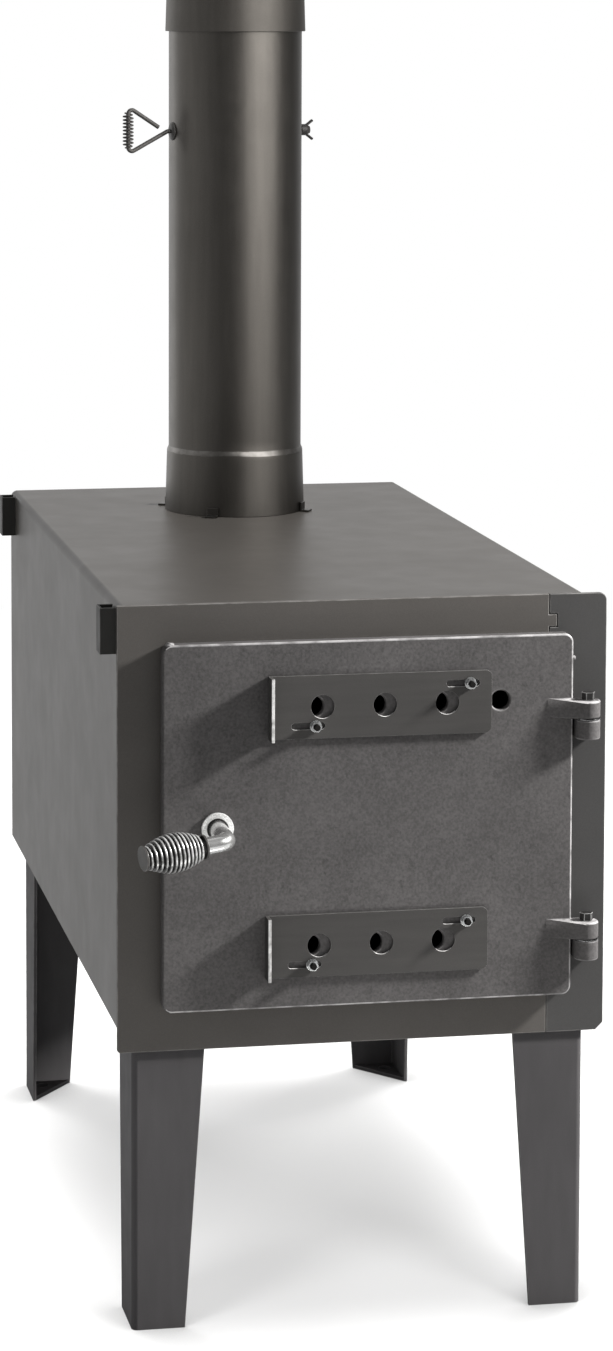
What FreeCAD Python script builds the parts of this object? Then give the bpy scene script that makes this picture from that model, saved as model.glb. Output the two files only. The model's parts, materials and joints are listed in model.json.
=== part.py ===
import FreeCAD, Part
import math
import os

# Outdoor wood-burning stove: a folded firebox on four angle legs, a cast door with two sliding air
# vents and a coil-handled latch, and two flue pipe sections with a turning damper.
# Millimetres, +Z up, front towards -Y. While building, x runs from the firebox's left side, y from
# the front plate's face and z from the ground; each piece is moved to the origin as it is saved.

Vec = FreeCAD.Vector
ALONG_X = Vec(1, 0, 0)
ALONG_Y = Vec(0, 1, 0)
ALONG_Z = Vec(0, 0, 1)

# Clearances
run_gap = 0.06
fit_gap = 0.1
seat_gap = 0.2
wall_gap = 0.3

# Working values: how far a cutter runs past a face, where two points count as one, the least fold
# radius, how far a slot's ends are rounded, and the points of a turn where a coil's gap is measured
cut_over = 1.0
same_point = 1e-7
least_bend = 0.1
slot_round = 0.98
coil_samples = 24

# Firebox
box_width = 310.5
box_depth = 560.0
box_height = 275.0
box_lift = 201.0
body_sheet = 2.0
body_bend = 5.0

# Front plate and hinge strip
front_sheet = 3.0
skirt = 16.0
front_chamfer = 1.5
mouth_corner = 6.0
strip_width = 38.5
strip_overhang = 13.0
strip_corner = 5.0
strip_chamfer = 5.0
joint_gap = 0.4
tab_width = 5.0
tab_height = 8.0
tab_drop = 13.5

# Door casting, set in from the firebox's left and right sides, its floor and its top
door_inset = 28.0
door_margin = 12.0
door_rise = 11.4
door_drop = 24.6
door_depth = 10.0
door_skin = 6.0
door_rim = 10.0
door_corner = 6.0
door_lap = 14.0

# Hinges
hinge_rise = 43.9
hinge_drop = 49.3
hinge_edge = 15.5
hinge_out = 12.0
pin_radius = 3.0
ear_radius = 8.0
ear_height = 11.5
ear_ramp = 17.0
ear_flat = 2.0
knuckle_height = 13.0
hinge_washer_sheet = 1.0
pin_head_width = 8.0
pin_head_height = 5.0

# Air vents: sheet slides held by two bolts each over rows of holes in the door
upper_vent_drop = 42.3
lower_vent_rise = 40.9
upper_vent_offset = 4.25
lower_vent_offset = 2.45
upper_door_holes = 4
lower_door_holes = 3
slide_holes = 3
vent_pitch = 41.1
door_hole_radius = 6.3
slide_hole_radius = 7.75
slide_length = 147.0
slide_height = 41.0
slide_sheet = 2.0
slide_tab = 12.0
slide_corner = 4.0
slide_shift = 2.8
slide_lead = 5.3
travel_open = 4.0
travel_shut = 13.5
vent_bolt_radius = 2.0
slot_margin_left = 14.7
slot_margin_right = 8.2
vent_bolt_spread = 12.4
vent_bolt_head_radius = 3.8
vent_bolt_head_height = 2.6
vent_bolt_tip = 3.0
vent_washer_radius = 3.9
vent_washer_sheet = 0.8
vent_nut_width = 6.4
vent_nut_height = 3.2

# Latch: a bent rod with a barrel-shaped coil grip outside and a tongue inside
latch_inset = 35.4
latch_below_middle = 0.0
rod_radius = 4.0
rod_tip = 2.0
handle_rod_radius = 5.8
latch_boss_radius = 11.0
handle_stand = 39.3
handle_bend = 10.0
handle_flare = 15.0
handle_droop = 4.7
handle_lead = 16.2
grip_length = 40.0
grip_turns = 13
grip_wire_radius = 1.05
grip_end_radius = 6.6
grip_middle_radius = 11.6
stop_sheet = 1.5
stop_radius = 8.0
latch_washer_radius = 10.5
latch_washer_sheet = 2.0
tongue_gap = 1.0
tongue_sheet = 4.0
tongue_width = 14.0
tongue_reach = 34.0
tongue_round = 0.9
tongue_tip_round = 2.0
spacer_radius = 7.0
latch_nut_width = 13.0
latch_nut_height = 6.0

# Flue pipe sections, each with a flared lower end
flue_from_back = 127.0
pipe_radius = 50.0
pipe_wall = 0.8
pipe_length = 406.0
flare_length = 45.0
flare_shoulder = 4.0
flare_mouth_radius = 52.6
flare_top_radius = 51.3
spigot_wall = 1.5
spigot_height = 42.0
spigot_flange = 10.0
pipe_tab_count = 4
pipe_tab_start = 62.0
pipe_tab_width = 9.0
pipe_tab_foot = 7.0
pipe_tab_height = 7.0
pipe_tab_sheet = 1.5

# Damper: a disc on a wire shaft that ends in a bent handle on the left and a wing nut on the right
damper_rise = 286.4
damper_yaw = 10.0
damper_wire_radius = 1.6
damper_bend = 3.0
damper_neck = 4.0
damper_leg = 35.0
damper_leg_low = -16.5
damper_leg_high = 18.5
damper_free_reach = 11.0
damper_free_height = 3.0
damper_stub = 6.5
damper_edge_gap = 1.4
damper_sheet = 1.2
damper_sleeve_wall = 1.4
bush_radius = 6.8
bush_sheet = 2.0
damper_grip_turns = 10
damper_grip_wire_radius = 0.6
damper_grip_length = 26.0
damper_grip_gap = 0.45
wing_hub_radius = 4.2
wing_hub_length = 5.0
wing_length = 9.0
wing_lean = 40.0
wing_height = 4.0
wing_sheet = 1.3

# Legs and feet
leg_inset_left = 10.0
leg_inset_right = 0.0
leg_inset_back = 3.0
leg_sheet = 2.5
leg_bend = 4.0
leg_front_foot = 35.0
leg_front_top = 48.7
leg_side_foot = 45.0
leg_side_top = 55.4
foot_sheet = 3.0
foot_trim = 1.0
foot_hole_radius = 4.5
foot_hole_x = 11.5
foot_hole_y = 13.5
leg_bolt_radius = 3.0
leg_bolt_near = 10.0
leg_bolt_far = 26.0
leg_bolt_width = 10.0
leg_bolt_head = 4.0
leg_bolt_tip = 2.0

# Side sleeves
sleeve_out = 10.5
sleeve_depth = 16.0
sleeve_height = 30.0
sleeve_drop = 1.5
sleeve_sheet = 1.5
sleeve_front = 3.0
sleeve_back = 13.0

# Fire grate
ledge_size = 14.0
ledge_sheet = 2.0
ledge_end_gap = 8.0
grate_rise = 14.0
grate_sheet = 3.0
grate_side_gap = 1.0
grate_end_gap = 12.0
grate_slots = 8
grate_rows = 3
grate_slot_width = 14.0
grate_bar = 22.0

# Places that follow from the sizes above
box_top = box_lift + box_height
inner_left = body_sheet
inner_right = box_width - body_sheet
front_bottom = box_lift - skirt
strip_right = box_width + strip_overhang
strip_left = strip_right - strip_width
door_left = door_inset
door_right = box_width - door_margin
door_middle = (door_left + door_right) / 2
door_low = box_lift + door_rise
door_high = box_top - door_drop
door_back = -seat_gap
door_face = door_back - door_depth
skin_back = door_face + door_skin
mouth_left = door_left + door_lap
mouth_low = door_low + door_lap
mouth_high = door_high - door_lap
hinge_x = strip_right - hinge_edge
hinge_y = -hinge_out
lower_ear_low = door_low + hinge_rise - ear_height / 2
upper_ear_low = door_high - hinge_drop - ear_height / 2
ear_lows = (lower_ear_low, upper_ear_low)
slide_back = door_face - seat_gap
slide_face = slide_back - slide_sheet
latch_x = door_left + latch_inset
latch_z = (door_low + door_high) / 2 - latch_below_middle
handle_corner_y = door_face - handle_stand
tongue_front = front_sheet + tongue_gap
grip_start = handle_lead + stop_sheet
grip_end = grip_start + grip_length
handle_tip = grip_end + stop_sheet
flue_x = box_width / 2
flue_y = box_depth - flue_from_back
upper_pipe_base = box_top + pipe_length - flare_length
damper_z = box_top + damper_rise
rear_face = box_depth - body_sheet
floor_top = box_lift + body_sheet

# Overall reach, which sets the origin under the middle of the part
reach_left = -sleeve_out
reach_right = strip_right
flare = math.radians(handle_flare)
reach_front = handle_corner_y - handle_tip * math.sin(flare) - stop_radius * math.cos(flare)
to_origin = Vec(-(reach_left + reach_right) / 2, -(reach_front + box_depth) / 2, 0)


def unit(vector):
    """The vector at length one."""
    return vector * (1.0 / vector.Length)


def box(x, y, z):
    """A block between the low and high value of each pair."""
    return Part.makeBox(x[1] - x[0], y[1] - y[0], z[1] - z[0], Vec(x[0], y[0], z[0]))


def rod(radius, start, end):
    """A round bar from start to end."""
    return Part.makeCylinder(radius, (end - start).Length, start, end - start)


def ring(outer, inner, start, end):
    """A washer or sleeve from start to end."""
    return rod(outer, start, end).cut(rod(inner, start, end))


def path(points, radii, closed=False):
    """A wire through points, with a tangent arc of its radius at each corner."""
    count = len(points)
    edges = []
    last = None if closed else points[0]
    first = None
    for index in range(count):
        inside = closed or 0 < index < count - 1
        corner = points[index]
        start = corner
        end = corner
        middle = None
        if inside and radii[index] > 0:
            before = unit(points[index - 1] - corner)
            after = unit(points[(index + 1) % count] - corner)
            half = before.getAngle(after) / 2
            start = corner + before * (radii[index] / math.tan(half))
            end = corner + after * (radii[index] / math.tan(half))
            inward = unit(before + after)
            middle = corner + inward * (radii[index] / math.sin(half) - radii[index])
        if last is not None and (start - last).Length > same_point:
            edges.append(Part.LineSegment(last, start).toShape())
        if middle is not None:
            edges.append(Part.Arc(start, middle, end).toShape())
        if first is None:
            first = start
        last = end
    if closed and (first - last).Length > same_point:
        edges.append(Part.LineSegment(last, first).toShape())
    return Part.Wire(edges)


def plate(points, radii, push):
    """A sheet with rounded corners, pushed out from its outline."""
    return Part.Face(path(points, radii, True)).extrude(push)


def sweep(line, radius):
    """A round wire along a path of straight runs and tangent arcs."""
    first = line.OrderedEdges[0]
    start = first.valueAt(first.FirstParameter)
    heading = first.tangentAt(first.FirstParameter)
    section = Part.Wire(Part.Circle(start, heading, radius).toShape())
    return line.makePipeShell([section], True, False)


def hexagon(centre, axis, across, height):
    """A hexagonal prism with two flats up, from centre along axis."""
    side = unit(axis.cross(ALONG_X)) if abs(axis.x) < 0.5 else ALONG_Y
    other = unit(axis.cross(side))
    corner = across / math.sqrt(3)
    points = []
    for index in range(6):
        turn = math.radians(60 * index + 30)
        points.append(centre + side * (corner * math.cos(turn)) + other * (corner * math.sin(turn)))
    return Part.Face(Part.makePolygon(points + points[:1])).extrude(unit(axis) * height)


def coil(start, axis, side, length, turns, wire_radius, radius_at):
    """One unbroken wound wire about an axis, on two tangent arcs for each quarter turn."""
    axis = unit(axis)
    side = unit(side)
    other = axis.cross(side)
    rise = length / turns

    def point(turn):
        angle = 2 * math.pi * turn
        radius = radius_at(turn / turns)
        out = side * (radius * math.cos(angle)) + other * (radius * math.sin(angle))
        return start + axis * (rise * turn) + out

    def heading(turn):
        step = 1e-4
        return unit(point(turn + step) - point(turn - step))

    def arc(begin, direction, end):
        chord = end - begin
        lean = unit(unit(direction) + unit(chord))
        middle = begin + lean * (chord.Length / 2 / lean.dot(unit(chord)))
        return Part.Arc(begin, middle, end).toShape()

    lead = 2 * wire_radius
    edges = [Part.LineSegment(point(0) - heading(0) * lead, point(0)).toShape()]
    for quarter in range(4 * turns):
        begin = point(quarter / 4)
        end = point((quarter + 1) / 4)
        leave = heading(quarter / 4)
        arrive = heading((quarter + 1) / 4)
        chord = end - begin
        both = chord.dot(leave + arrive)
        spare = 2 * (1 - leave.dot(arrive))
        reach = (math.sqrt(both * both + spare * chord.dot(chord)) - both) / spare
        join = (begin + end + (leave - arrive) * reach) * 0.5
        edges.append(arc(begin, leave, join))
        edges.append(arc(end, arrive * -1, join))
    edges.append(Part.LineSegment(point(turns), point(turns) + heading(turns) * lead).toShape())
    samples = [point(index / coil_samples) for index in range(coil_samples * turns + 1)]
    half_turn = coil_samples // 2
    apart = min((far - near).Length for index, near in enumerate(samples)
                for far in samples[index + half_turn:])
    return sweep(Part.Wire(edges), wire_radius), apart - 2 * wire_radius


def save(name, shape):
    """Writes one piece, moved to the part's origin."""
    placed = shape.copy()
    placed.translate(to_origin)
    placed.exportStep("parts/" + name + ".step")
    solids = len(placed.Solids)
    print(name, "solids", solids, "volume", round(placed.Volume, 1), "valid", placed.isValid())


def on_flue(z):
    """A point of the flue's axis."""
    return Vec(flue_x, flue_y, z)


def body_wrap():
    """Both sides and the top, folded from one sheet, with the flue hole."""
    def profile(inset):
        low = Vec(inset, front_sheet, box_lift)
        high = Vec(inset, front_sheet, box_top - inset)
        far = Vec(box_width - inset, front_sheet, box_top - inset)
        foot = Vec(box_width - inset, front_sheet, box_lift)
        fold = max(body_bend - inset, 0)
        return plate([low, high, far, foot], [0, fold, fold, 0], ALONG_Y * (box_depth - front_sheet))
    hole = rod(pipe_radius + wall_gap, on_flue(box_top - 2 * body_sheet), on_flue(box_top + cut_over))
    return profile(0).cut(profile(body_sheet)).cut(hole)


def floor_sheet():
    """The firebox's floor, with the leg bolts' holes."""
    floor = box((inner_left, inner_right), (front_sheet, rear_face), (box_lift, floor_top))
    for spot in leg_bolt_spots():
        start = spot + ALONG_Z * (box_lift - cut_over)
        floor = floor.cut(rod(leg_bolt_radius + fit_gap, start, spot + ALONG_Z * (floor_top + cut_over)))
    return floor


def rear_panel():
    """The back, set inside the folded sheet."""
    low = Vec(inner_left, rear_face, box_lift)
    high = Vec(inner_left, rear_face, box_top - body_sheet)
    far = Vec(inner_right, rear_face, box_top - body_sheet)
    foot = Vec(inner_right, rear_face, box_lift)
    fold = max(body_bend - body_sheet, 0)
    return plate([low, high, far, foot], [0, fold, fold, 0], ALONG_Y * body_sheet)


def joint_tab(grow):
    """The front plate's small tab, which the hinge strip is notched for."""
    high = box_top - tab_drop
    return box((strip_left - joint_gap - tab_width, strip_left + tab_width + grow), (0, front_sheet),
               (high - tab_height - grow, high + grow))


def front_plate():
    """The front on three sides of the mouth, open towards the hinge strip."""
    right = strip_left - joint_gap
    chamfer = front_chamfer
    points = [(chamfer, front_bottom), (right, front_bottom), (right, mouth_low), (mouth_left, mouth_low),
              (mouth_left, mouth_high), (right, mouth_high), (right, box_top), (0, box_top),
              (0, front_bottom + chamfer)]
    radii = [0, 0, 0, mouth_corner, mouth_corner, 0, 0, 0, 0]
    sheet = plate([Vec(x, 0, z) for x, z in points], radii, ALONG_Y * front_sheet)
    return sheet.fuse(joint_tab(0)).removeSplitter()


def hinge_strip():
    """The upright that carries the hinges and closes the mouth on the right."""
    chamfer = strip_chamfer
    points = [(strip_left, front_bottom), (strip_right - chamfer, front_bottom),
              (strip_right, front_bottom + chamfer), (strip_right, box_top), (strip_left, box_top)]
    radii = [0, 0, 0, strip_corner, 0]
    sheet = plate([Vec(x, 0, z) for x, z in points], radii, ALONG_Y * front_sheet)
    return sheet.cut(joint_tab(joint_gap))


def hinge_line(low, high):
    """The two ends of a stretch of the hinge axis."""
    return Vec(hinge_x, hinge_y, low), Vec(hinge_x, hinge_y, high)


def knuckle(ear_low):
    """A hinge boss on the strip, under a door ear."""
    high = ear_low - hinge_washer_sheet
    low = high - knuckle_height
    boss = rod(ear_radius, *hinge_line(low, high))
    base = box((hinge_x - ear_radius, hinge_x + ear_radius), (hinge_y, 0), (low, high))
    bore = rod(pin_radius + run_gap, *hinge_line(low - cut_over, high + cut_over))
    return boss.fuse(base).cut(bore).removeSplitter()


def hinge_pin(ear_low):
    """A hex-headed pin through a door ear and its knuckle."""
    low = ear_low - hinge_washer_sheet - knuckle_height
    head_low = ear_low + ear_height + seat_gap
    shank = rod(pin_radius, *hinge_line(low, head_low))
    head = hexagon(Vec(hinge_x, hinge_y, head_low), ALONG_Z, pin_head_width, pin_head_height)
    return shank.fuse(head)


def hinge_washer(ear_low):
    """The washer between a door ear and its knuckle."""
    low = ear_low - hinge_washer_sheet
    return ring(ear_radius, pin_radius + run_gap, *hinge_line(low, ear_low - seat_gap))


def door_ear(ear_low):
    """A hinge ear cast on the door: a ramp, an arm and a boss round the pin."""
    front = hinge_y - ear_radius
    back = hinge_y + ear_radius
    root = (door_face + skin_back) / 2
    heel = door_right - door_skin
    toe = door_right - ear_ramp
    points = [(toe, door_face), (hinge_x - ear_flat, front), (hinge_x, front), (hinge_x, back), (heel, back),
              (heel, root), (toe, root)]
    arm = plate([Vec(x, y, ear_low) for x, y in points], [0] * len(points), ALONG_Z * ear_height)
    return arm.fuse(rod(ear_radius, *hinge_line(ear_low, ear_low + ear_height)))


class Vent:
    """One air vent, from its second door hole: the door's holes, the bolts and the slide."""

    def __init__(self, offset, z, door_holes):
        self.x = door_middle + offset
        self.z = z
        self.door_holes = door_holes
        self.slide_middle = self.x + slide_lead
        self.slide_left = self.slide_middle - slide_shift - slide_length / 2
        self.slide_right = self.slide_left + slide_length
        self.slot_half = vent_bolt_radius + wall_gap

    def bolt_at(self, y):
        """A point at depth y on the axis of each of the two bolts."""
        left = self.slide_left + slot_margin_left + self.slot_half + travel_shut
        right = self.slide_right - slot_margin_right - self.slot_half - travel_open
        return [Vec(left, y, self.z - vent_bolt_spread), Vec(right, y, self.z + vent_bolt_spread)]

    def bolt_bars(self, radius, start, end):
        """A round bar on each bolt's axis, from depth start to depth end."""
        return [rod(radius, first, last) for first, last in zip(self.bolt_at(start), self.bolt_at(end))]

    def door_cutters(self):
        """What is cut from the door: the air holes and the bolts' holes."""
        cutters = self.bolt_bars(vent_bolt_radius + fit_gap, door_face - cut_over, cut_over)
        for index in range(self.door_holes):
            x = self.x + (index - 1) * vent_pitch
            front = Vec(x, door_face - cut_over, self.z)
            cutters.append(rod(door_hole_radius, front, Vec(x, cut_over, self.z)))
        return cutters

    def slide(self):
        """The sheet slide: a finger tab on the left, three air holes and two bolt slots."""
        low = self.z - slide_height / 2
        high = self.z + slide_height / 2
        points = [(self.slide_left, low), (self.slide_right, low), (self.slide_right, high),
                  (self.slide_left, high)]
        radii = [0, slide_corner, slide_corner, 0]
        sheet = plate([Vec(x, slide_face, z) for x, z in points], radii, ALONG_Y * slide_sheet)
        tab_right = self.slide_left + slide_sheet
        tab = box((self.slide_left, tab_right), (slide_back - slide_tab, slide_back), (low, high))
        sheet = sheet.fuse(tab).removeSplitter()
        front = slide_face - cut_over
        back = slide_back + cut_over
        for index in range(slide_holes):
            x = self.slide_middle + (index - 1) * vent_pitch
            sheet = sheet.cut(rod(slide_hole_radius, Vec(x, front, self.z), Vec(x, back, self.z)))
        half = self.slot_half
        for spot in self.bolt_at(front):
            left = spot.x - travel_shut - half
            right = spot.x + travel_open + half
            low = spot.z - half
            high = spot.z + half
            corners = [Vec(x, front, z) for x, z in ((left, low), (right, low), (right, high), (left, high))]
            sheet = sheet.cut(plate(corners, [half * slot_round] * 4, ALONG_Y * (back - front)))
        return sheet

    def bolts(self):
        """Round-headed bolts, from inside the door out through the slide and its nuts."""
        tip = slide_face - seat_gap - vent_washer_sheet - vent_nut_height - vent_bolt_tip
        heads = self.bolt_bars(vent_bolt_head_radius, skin_back, skin_back + vent_bolt_head_height)
        shanks = self.bolt_bars(vent_bolt_radius, skin_back, tip)
        return [head.fuse(shank) for head, shank in zip(heads, shanks)]

    def washers(self):
        """The washers between the slide and the nuts."""
        face = slide_face - seat_gap
        front = face - vent_washer_sheet
        rims = self.bolt_bars(vent_washer_radius, front, face)
        bores = self.bolt_bars(vent_bolt_radius + fit_gap, front, face)
        return [rim.cut(bore) for rim, bore in zip(rims, bores)]

    def nuts(self):
        """The nuts that hold the slide."""
        face = slide_face - seat_gap - vent_washer_sheet
        bores = self.bolt_bars(vent_bolt_radius + fit_gap, face + cut_over, face - vent_nut_height - cut_over)
        blanks = [hexagon(spot, ALONG_Y * -1, vent_nut_width, vent_nut_height) for spot in self.bolt_at(face)]
        return [blank.cut(bore) for blank, bore in zip(blanks, bores)]


def door_plate(vents):
    """The cast door: a rimmed plate with hinge ears, vent holes and the latch boss."""
    outline = [(door_left, door_low), (door_right, door_low), (door_right, door_high), (door_left, door_high)]
    casting = plate([Vec(x, door_face, z) for x, z in outline], [door_corner] * 4, ALONG_Y * door_depth)
    casting = casting.cut(box((door_left + door_rim, door_right - door_rim), (skin_back, cut_over),
                              (door_low + door_rim, door_high - door_rim)))
    casting = casting.fuse(rod(latch_boss_radius, on_pivot(skin_back - door_skin / 2), on_pivot(door_back)))
    for ear_low in ear_lows:
        casting = casting.fuse(door_ear(ear_low))
    casting = casting.removeSplitter()
    for ear_low in ear_lows:
        bore = hinge_line(ear_low - cut_over, ear_low + ear_height + cut_over)
        casting = casting.cut(rod(pin_radius + run_gap, *bore))
    casting = casting.cut(rod(rod_radius + run_gap, on_pivot(door_face - cut_over), on_pivot(cut_over)))
    for vent in vents:
        for cutter in vent.door_cutters():
            casting = casting.cut(cutter)
    return casting


# The latch is drawn with its handle level, then turned to its resting droop
pivot = Vec(latch_x, 0, latch_z)
handle_corner = Vec(latch_x, handle_corner_y, latch_z)
handle_axis = Vec(-math.cos(flare), -math.sin(flare), 0)


def drooped(shape):
    """The piece, turned about the latch's pivot to the handle's resting droop."""
    turned = shape.copy()
    turned.rotate(pivot, ALONG_Y, -handle_droop)
    return turned


def on_pivot(y):
    """A point of the latch's axis."""
    return Vec(latch_x, y, latch_z)


def latch_rod():
    """The rod from the nut inside to the tip of the handle, thicker from the door to the grip."""
    inner = tongue_front + tongue_sheet + latch_nut_height + rod_tip
    outer = door_face - latch_washer_sheet - 2 * seat_gap
    grip = handle_corner + handle_axis * (handle_lead - seat_gap)
    tip = handle_corner + handle_axis * (grip_end - seat_gap)
    bar = sweep(path([on_pivot(outer), handle_corner, grip], [0, handle_bend, 0]), handle_rod_radius)
    spindle = rod(rod_radius, on_pivot(inner), on_pivot(outer - handle_bend / 2))
    core = rod(rod_radius, grip - handle_axis * (handle_bend / 2), tip)
    return bar.fuse(spindle).fuse(core).removeSplitter()


def latch_washer():
    """The wide washer on the door's face."""
    back = door_face - seat_gap
    front = back - latch_washer_sheet
    return ring(latch_washer_radius, rod_radius + fit_gap, on_pivot(back), on_pivot(front))


def latch_spacer():
    """The sleeve between the door and the tongue."""
    return ring(spacer_radius, rod_radius + fit_gap, on_pivot(door_back + seat_gap), on_pivot(tongue_front))


def handle_stops():
    """The washer before the coil grip and the closed cap at its tip."""
    start = handle_corner + handle_axis * handle_lead
    washer = ring(stop_radius, rod_radius + fit_gap, start, start + handle_axis * stop_sheet)
    end = handle_corner + handle_axis * grip_end
    return [washer, rod(stop_radius, end, end + handle_axis * stop_sheet)]


def handle_coil():
    """The barrel-shaped coil round the handle."""
    spare = grip_wire_radius + wall_gap
    swell = grip_middle_radius - grip_end_radius

    def radius_at(share):
        return grip_end_radius + swell * math.sin(math.pi * share)
    start = handle_corner + handle_axis * (grip_start + spare)
    length = grip_length - 2 * spare
    return coil(start, handle_axis, ALONG_Z, length, grip_turns, grip_wire_radius, radius_at)


def latch_tongue():
    """The bar that turns behind the front plate."""
    half = tongue_width / 2
    tip = latch_z + tongue_reach
    points = [(latch_x - half, latch_z - half), (latch_x + half, latch_z - half), (latch_x + half, tip),
              (latch_x - half, tip)]
    radii = [half * tongue_round] * 2 + [tongue_tip_round] * 2
    bar = plate([Vec(x, tongue_front, z) for x, z in points], radii, ALONG_Y * tongue_sheet)
    back = tongue_front + tongue_sheet
    return bar.cut(rod(rod_radius + fit_gap, on_pivot(tongue_front - cut_over), on_pivot(back + cut_over)))


def latch_nut():
    """The nut that holds the tongue on the rod."""
    face = tongue_front + tongue_sheet
    nut = hexagon(on_pivot(face), ALONG_Y, latch_nut_width, latch_nut_height)
    back = face + latch_nut_height
    return nut.cut(rod(rod_radius + fit_gap, on_pivot(face - cut_over), on_pivot(back + cut_over)))


def pipe_section(base):
    """A pipe with a flared lower end and a plain upper end."""
    shoulder = flare_length + flare_shoulder
    outer = [(flare_mouth_radius, 0), (flare_top_radius, flare_length), (pipe_radius, shoulder),
             (pipe_radius, pipe_length)]
    inner = [(radius - pipe_wall, height) for radius, height in reversed(outer)]
    points = [Vec(flue_x + radius, flue_y, base + height) for radius, height in outer + inner]
    face = Part.Face(Part.makePolygon(points + points[:1]))
    return face.revolve(on_flue(base), ALONG_Z, 360)


def damped_pipe():
    """The lower pipe, with the holes for the damper's shaft."""
    reach = 2 * pipe_radius
    holes = rod(damper_wire_radius + run_gap, on_shaft(-reach), on_shaft(reach))
    return pipe_section(box_top).cut(damper_placed(holes))


def flue_spigot():
    """The ring that the lower pipe stands over, flanged under the firebox's top."""
    under = box_top - body_sheet
    low = under - spigot_wall
    high = box_top + spigot_height
    tube = rod(pipe_radius, on_flue(low), on_flue(high))
    flange = rod(pipe_radius + spigot_flange, on_flue(low), on_flue(under))
    bore = rod(pipe_radius - spigot_wall, on_flue(low - cut_over), on_flue(high + cut_over))
    return tube.fuse(flange).cut(bore).removeSplitter()


def pipe_tabs():
    """Small angle tabs round the lower pipe's mouth."""
    made = []
    near = flare_mouth_radius + wall_gap
    for index in range(pipe_tab_count):
        half = pipe_tab_width / 2
        wall = box((near, near + pipe_tab_sheet), (-half, half), (box_top, box_top + pipe_tab_height))
        foot = box((near, near + pipe_tab_foot), (-half, half), (box_top, box_top + pipe_tab_sheet))
        tab = wall.fuse(foot).removeSplitter()
        tab.rotate(Vec(0, 0, 0), ALONG_Z, pipe_tab_start + index * 360.0 / pipe_tab_count)
        tab.translate(Vec(flue_x, flue_y, 0))
        made.append(tab)
    return made


# The damper is drawn with its shaft along x through the pipe's axis, then turned to its place
def damper_placed(shape):
    """The piece, turned about the pipe's axis and moved to the damper's height."""
    turned = shape.copy()
    turned.rotate(Vec(0, 0, 0), ALONG_Z, damper_yaw)
    turned.translate(Vec(flue_x, flue_y, damper_z))
    return turned


def on_shaft(x):
    """A point of the damper's shaft, before it is placed."""
    return Vec(x, 0, 0)


neck_x = -(pipe_radius + damper_neck)
leg_x = -(pipe_radius + damper_leg)


def damper_shaft():
    """The wire: a shaft through the pipe, bent into an open triangle for a handle."""
    free_end = Vec(-(pipe_radius + damper_free_reach), 0, damper_free_height)
    stub_end = on_shaft(pipe_radius + damper_stub)
    leg = [Vec(leg_x, 0, damper_leg_low), Vec(leg_x, 0, damper_leg_high)]
    line = path([stub_end, on_shaft(neck_x)] + leg + [free_end], [0] + [damper_bend] * 3 + [0])
    return sweep(line, damper_wire_radius)


def damper_plate():
    """The disc that closes the pipe, with a sleeve for its shaft."""
    radius = pipe_radius - pipe_wall - damper_edge_gap
    half = damper_sheet / 2
    disc = rod(radius, Vec(0, -half, 0), Vec(0, half, 0))
    end = radius - damper_sleeve_wall
    sleeve = rod(damper_wire_radius + damper_sleeve_wall, on_shaft(-end), on_shaft(end))
    bore = rod(damper_wire_radius + fit_gap, on_shaft(-pipe_radius), on_shaft(pipe_radius))
    return disc.fuse(sleeve).cut(bore)


def damper_grip():
    """The small coil round the handle's upright leg."""
    radius = damper_wire_radius + damper_grip_gap + damper_grip_wire_radius
    middle = (damper_leg_low + damper_leg_high) / 2
    start = Vec(leg_x, 0, middle - damper_grip_length / 2)

    def radius_at(share):
        return radius
    side = ALONG_X * -1
    wire = damper_grip_wire_radius
    return coil(start, ALONG_Z, side, damper_grip_length, damper_grip_turns, wire, radius_at)


def damper_bushes():
    """The washers outside the pipe that the shaft turns in."""
    near = pipe_radius + fit_gap
    far = near + bush_sheet
    bore = damper_wire_radius + run_gap
    return [ring(bush_radius, bore, on_shaft(side * near), on_shaft(side * far)) for side in (-1, 1)]


def damper_wing_nut():
    """The wing nut on the shaft's right end."""
    start = pipe_radius + fit_gap + bush_sheet + seat_gap
    nut = rod(wing_hub_radius, on_shaft(start), on_shaft(start + wing_hub_length))
    for side in (-1, 1):
        wing = box((0, wing_length), (-wing_sheet / 2, wing_sheet / 2), (-wing_height / 2, wing_height / 2))
        wing.rotate(Vec(0, 0, 0), ALONG_Y, -side * wing_lean)
        wing.translate(Vec(start + wing_hub_length / 2, 0, side * wing_hub_radius / 2))
        nut = nut.fuse(wing)
    return nut.cut(rod(damper_wire_radius + fit_gap, on_shaft(0), on_shaft(2 * start)))


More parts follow.
